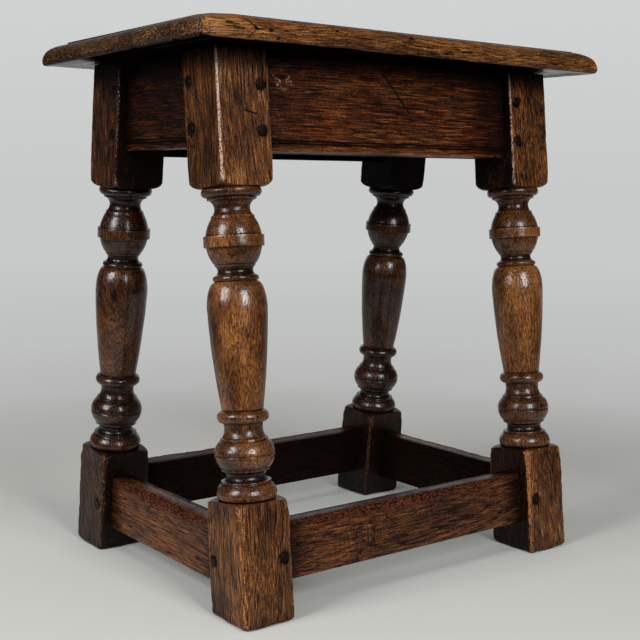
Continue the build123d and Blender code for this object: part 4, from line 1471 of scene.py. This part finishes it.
# ---- Stage ----
def lay_floor(stage, ahead, right):
    """The pale floor. Places on it are shares of its radius."""
    mesh = bmesh.new()
    bmesh.ops.create_circle(mesh, cap_ends=True, segments=96, radius=FLOOR_RADIUS)
    floor_mesh = bpy.data.meshes.new("floor")
    mesh.to_mesh(floor_mesh)
    mesh.free()
    floor = bpy.data.objects.new("floor", floor_mesh)
    bpy.context.scene.collection.objects.link(floor)
    material = bpy.data.materials.new("studio_floor")
    material.use_nodes = True
    floor_mesh.materials.append(material)
    kit = Nodes(material.node_tree)
    place = kit.add("ShaderNodeTexCoord").outputs["Object"]
    away, side, across = [
        kit.math("DIVIDE", length, FLOOR_RADIUS) for length in (
            kit.vector("LENGTH", place), kit.vector("DOT_PRODUCT", place, tuple(ahead)),
            kit.vector("DOT_PRODUCT", place, tuple(right))
        )
    ]
    # The floor is painted darker in a ring round the stool, as its broad soft shadow.
    base = kit.ramp(
        away, (0.022, stage.floor), (0.05, stage.distance), (0.09, stage.distance),
        (0.24, stage.floor)
    )
    # Rays that left the stool meet a dark floor a little in front of it and to its sides.
    depth = kit.math("MAXIMUM", kit.math("ADD", side, 0.178), 0.01)
    spread = kit.math("DIVIDE", kit.math("ABSOLUTE", across), depth)
    pale = kit.math(
        "MULTIPLY", kit.ramp(kit.math("ADD", side, 0.5), (0.439, 0.0), (0.456, 1.0)),
        kit.ramp(spread, (0.42, 1.0), (0.60, 0.0))
    )
    path, clear = kit.direct_rays()
    base = kit.blend(kit.math("MAXIMUM", pale, clear), tuple(stage.pit), base)
    shader = material.node_tree.nodes["Principled BSDF"]
    kit.feed(shader.inputs["Base Color"], base)
    shader.inputs["Roughness"].default_value = 0.75
    shader.inputs["Specular IOR Level"].default_value = 0.2
    # Far off, the floor turns into the backdrop, so that no line shows between them.
    mirrored = kit.math("MULTIPLY", path["Is Glossy Ray"], kit.ramp(side, (0.05, 0.0), (0.4, 1.0)))
    glow = kit.add("ShaderNodeEmission")
    glow.inputs["Color"].default_value = (*stage.horizon, 1.0)
    glow_share = kit.ramp(away, (0.05, 0.0), (0.10, 0.6), (0.16, 0.8), (0.30, 0.93), (0.5, 1.0))
    share = kit.math("MULTIPLY", kit.math("MAXIMUM", clear, mirrored), glow_share)
    show_mix(kit, "Material Output", share, shader, glow)


def show_mix(kit, output, share, first, second):
    """Mixes two shaders by a share into a tree's output."""
    mix = kit.add("ShaderNodeMixShader")
    for socket, value in zip(mix.inputs, (share, first.outputs[0], second.outputs[0])):
        kit.feed(socket, value)
    kit.feed(kit.tree.nodes[output].inputs["Surface"], mix.outputs[0])


def hang_backdrop(stage, ahead):
    """The pale backdrop, and an even light that only bounced rays meet."""
    world = bpy.data.worlds.new("studio")
    bpy.context.scene.world = world
    world.use_nodes = True
    world.cycles.sampling_method = "NONE"
    kit = Nodes(world.node_tree)
    sky = world.node_tree.nodes["Background"]
    sky.inputs["Color"].default_value = (1.0, 1.0, 1.0, 1.0)
    sky.inputs["Strength"].default_value = stage.sky
    outward = kit.add("ShaderNodeTexCoord").outputs["Generated"]
    rise = kit.vector("DOT_PRODUCT", outward, (0.0, 0.0, 1.0))
    path, clear = kit.direct_rays()
    # Gloss shows the backdrop ahead, and the dark room behind the camera and overhead.
    facing_side = kit.total(0.5, (kit.vector("DOT_PRODUCT", outward, tuple(ahead)), 0.5))
    room = kit.ramp(facing_side, (0.88, stage.room), (0.97, 1.0))
    overhead = kit.ramp(rise, (0.30, 1.0), (0.62, stage.room))
    shown = kit.math("MAXIMUM", clear, kit.math("MULTIPLY", room, overhead))
    backdrop = kit.add("ShaderNodeBackground")
    # The backdrop is painted darker towards the horizon: painted shade low on the backdrop.
    colours = kit.ramp(rise, (0.0, stage.horizon), (0.22, stage.backdrop))
    kit.feed(backdrop.inputs["Color"], colours)
    kit.feed(backdrop.inputs["Strength"], shown)
    share = kit.math("MAXIMUM", clear, path["Is Glossy Ray"])
    show_mix(kit, "World Output", share, sky, backdrop)


def hang_lamp(name, power, ahead, right):
    """A soft rectangular studio light."""
    turn, rise, width, height = LAMPS[name]
    turn, rise = math.radians(turn), math.radians(rise)
    back = right * math.sin(turn) - ahead * math.cos(turn)
    toward = back * math.cos(rise) + Vector((0.0, 0.0, math.sin(rise)))
    data = bpy.data.lights.new(name + "_light", "AREA")
    data.shape, data.size, data.size_y = "RECTANGLE", width, height
    data.energy = power
    lamp = bpy.data.objects.new(name + "_light", data)
    bpy.context.scene.collection.objects.link(lamp)
    lamp.location = LAMP_TARGET + toward * LAMP_REACH
    lamp.rotation_euler = (LAMP_TARGET - lamp.location).to_track_quat("-Z", "Y").to_euler()


def place_camera(scene):
    """The camera, low in front of the stool's near corner."""
    data = bpy.data.cameras.new("camera")
    camera = bpy.data.objects.new("camera", data)
    scene.collection.objects.link(camera)
    scene.camera = camera
    yaw, pitch = math.radians(CAMERA_YAW), math.radians(CAMERA_PITCH)
    level = math.cos(pitch)
    look = Vector((math.cos(yaw) * level, math.sin(yaw) * level, math.sin(pitch)))
    place = Matrix.Translation(CAMERA_PLACE) @ look.to_track_quat("-Z", "Y").to_matrix().to_4x4()
    camera.matrix_world = place @ Matrix.Rotation(math.radians(CAMERA_ROLL), 4, "Z")
    data.sensor_width = 36.0
    data.lens = CAMERA_LENS
    data.shift_x, data.shift_y = CAMERA_SHIFT
    data.clip_start, data.clip_end = 0.05, 40.0


class STOOL_OT_stage(bpy.types.Operator):
    """Lay the floor, hang the lights and place the camera"""

    bl_idname = "stool.stage"
    bl_label = "Stage"

    def execute(self, context):
        scene = context.scene
        stage = scene.stool_stage
        yaw = math.radians(CAMERA_YAW)
        ahead = Vector((math.cos(yaw), math.sin(yaw), 0.0))
        right = Vector((math.sin(yaw), -math.cos(yaw), 0.0))
        lay_floor(stage, ahead, right)
        hang_backdrop(stage, ahead)
        hang_lamp("key", stage.key, ahead, right)
        hang_lamp("fill", stage.fill, ahead, right)
        place_camera(scene)
        scene.view_settings.view_transform = "Standard"
        return {"FINISHED"}


class STOOL_PT_panel(bpy.types.Panel):
    """Buttons that make the stool's pieces"""

    bl_label = "Joined Stool"
    bl_idname = "STOOL_PT_panel"
    bl_space_type = "VIEW_3D"
    bl_region_type = "UI"
    bl_category = "Joined Stool"

    def draw(self, context):
        for operator in OPERATORS:
            self.layout.operator(operator.bl_idname)


GROUPS = {
    "stool_seat": StoolSeatSizes,
    "stool_legs": StoolLegSizes,
    "stool_rails": StoolRailSizes,
    "stool_pegs": StoolPegSizes,
    "stool_finish": StoolFinish,
    "stool_stage": StoolStage,
}
OPERATORS = (
    STOOL_OT_stage, STOOL_OT_seat, STOOL_OT_legs, STOOL_OT_aprons, STOOL_OT_stretchers,
    STOOL_OT_pegs,
)


def register():
    for name, group in GROUPS.items():
        bpy.utils.register_class(group)
        setattr(bpy.types.Scene, name, bpy.props.PointerProperty(type=group))
    for operator in OPERATORS:
        bpy.utils.register_class(operator)
    bpy.utils.register_class(STOOL_PT_panel)


def unregister():
    bpy.utils.unregister_class(STOOL_PT_panel)
    for operator in reversed(OPERATORS):
        bpy.utils.unregister_class(operator)
    for name, group in reversed(GROUPS.items()):
        delattr(bpy.types.Scene, name)
        bpy.utils.unregister_class(group)


def main():
    register()
    bpy.ops.stool.stage()
    bpy.ops.stool.seat()
    bpy.ops.stool.legs()
    bpy.ops.stool.aprons()
    bpy.ops.stool.stretchers()
    bpy.ops.stool.pegs()


if __name__ == "__main__":
    main()
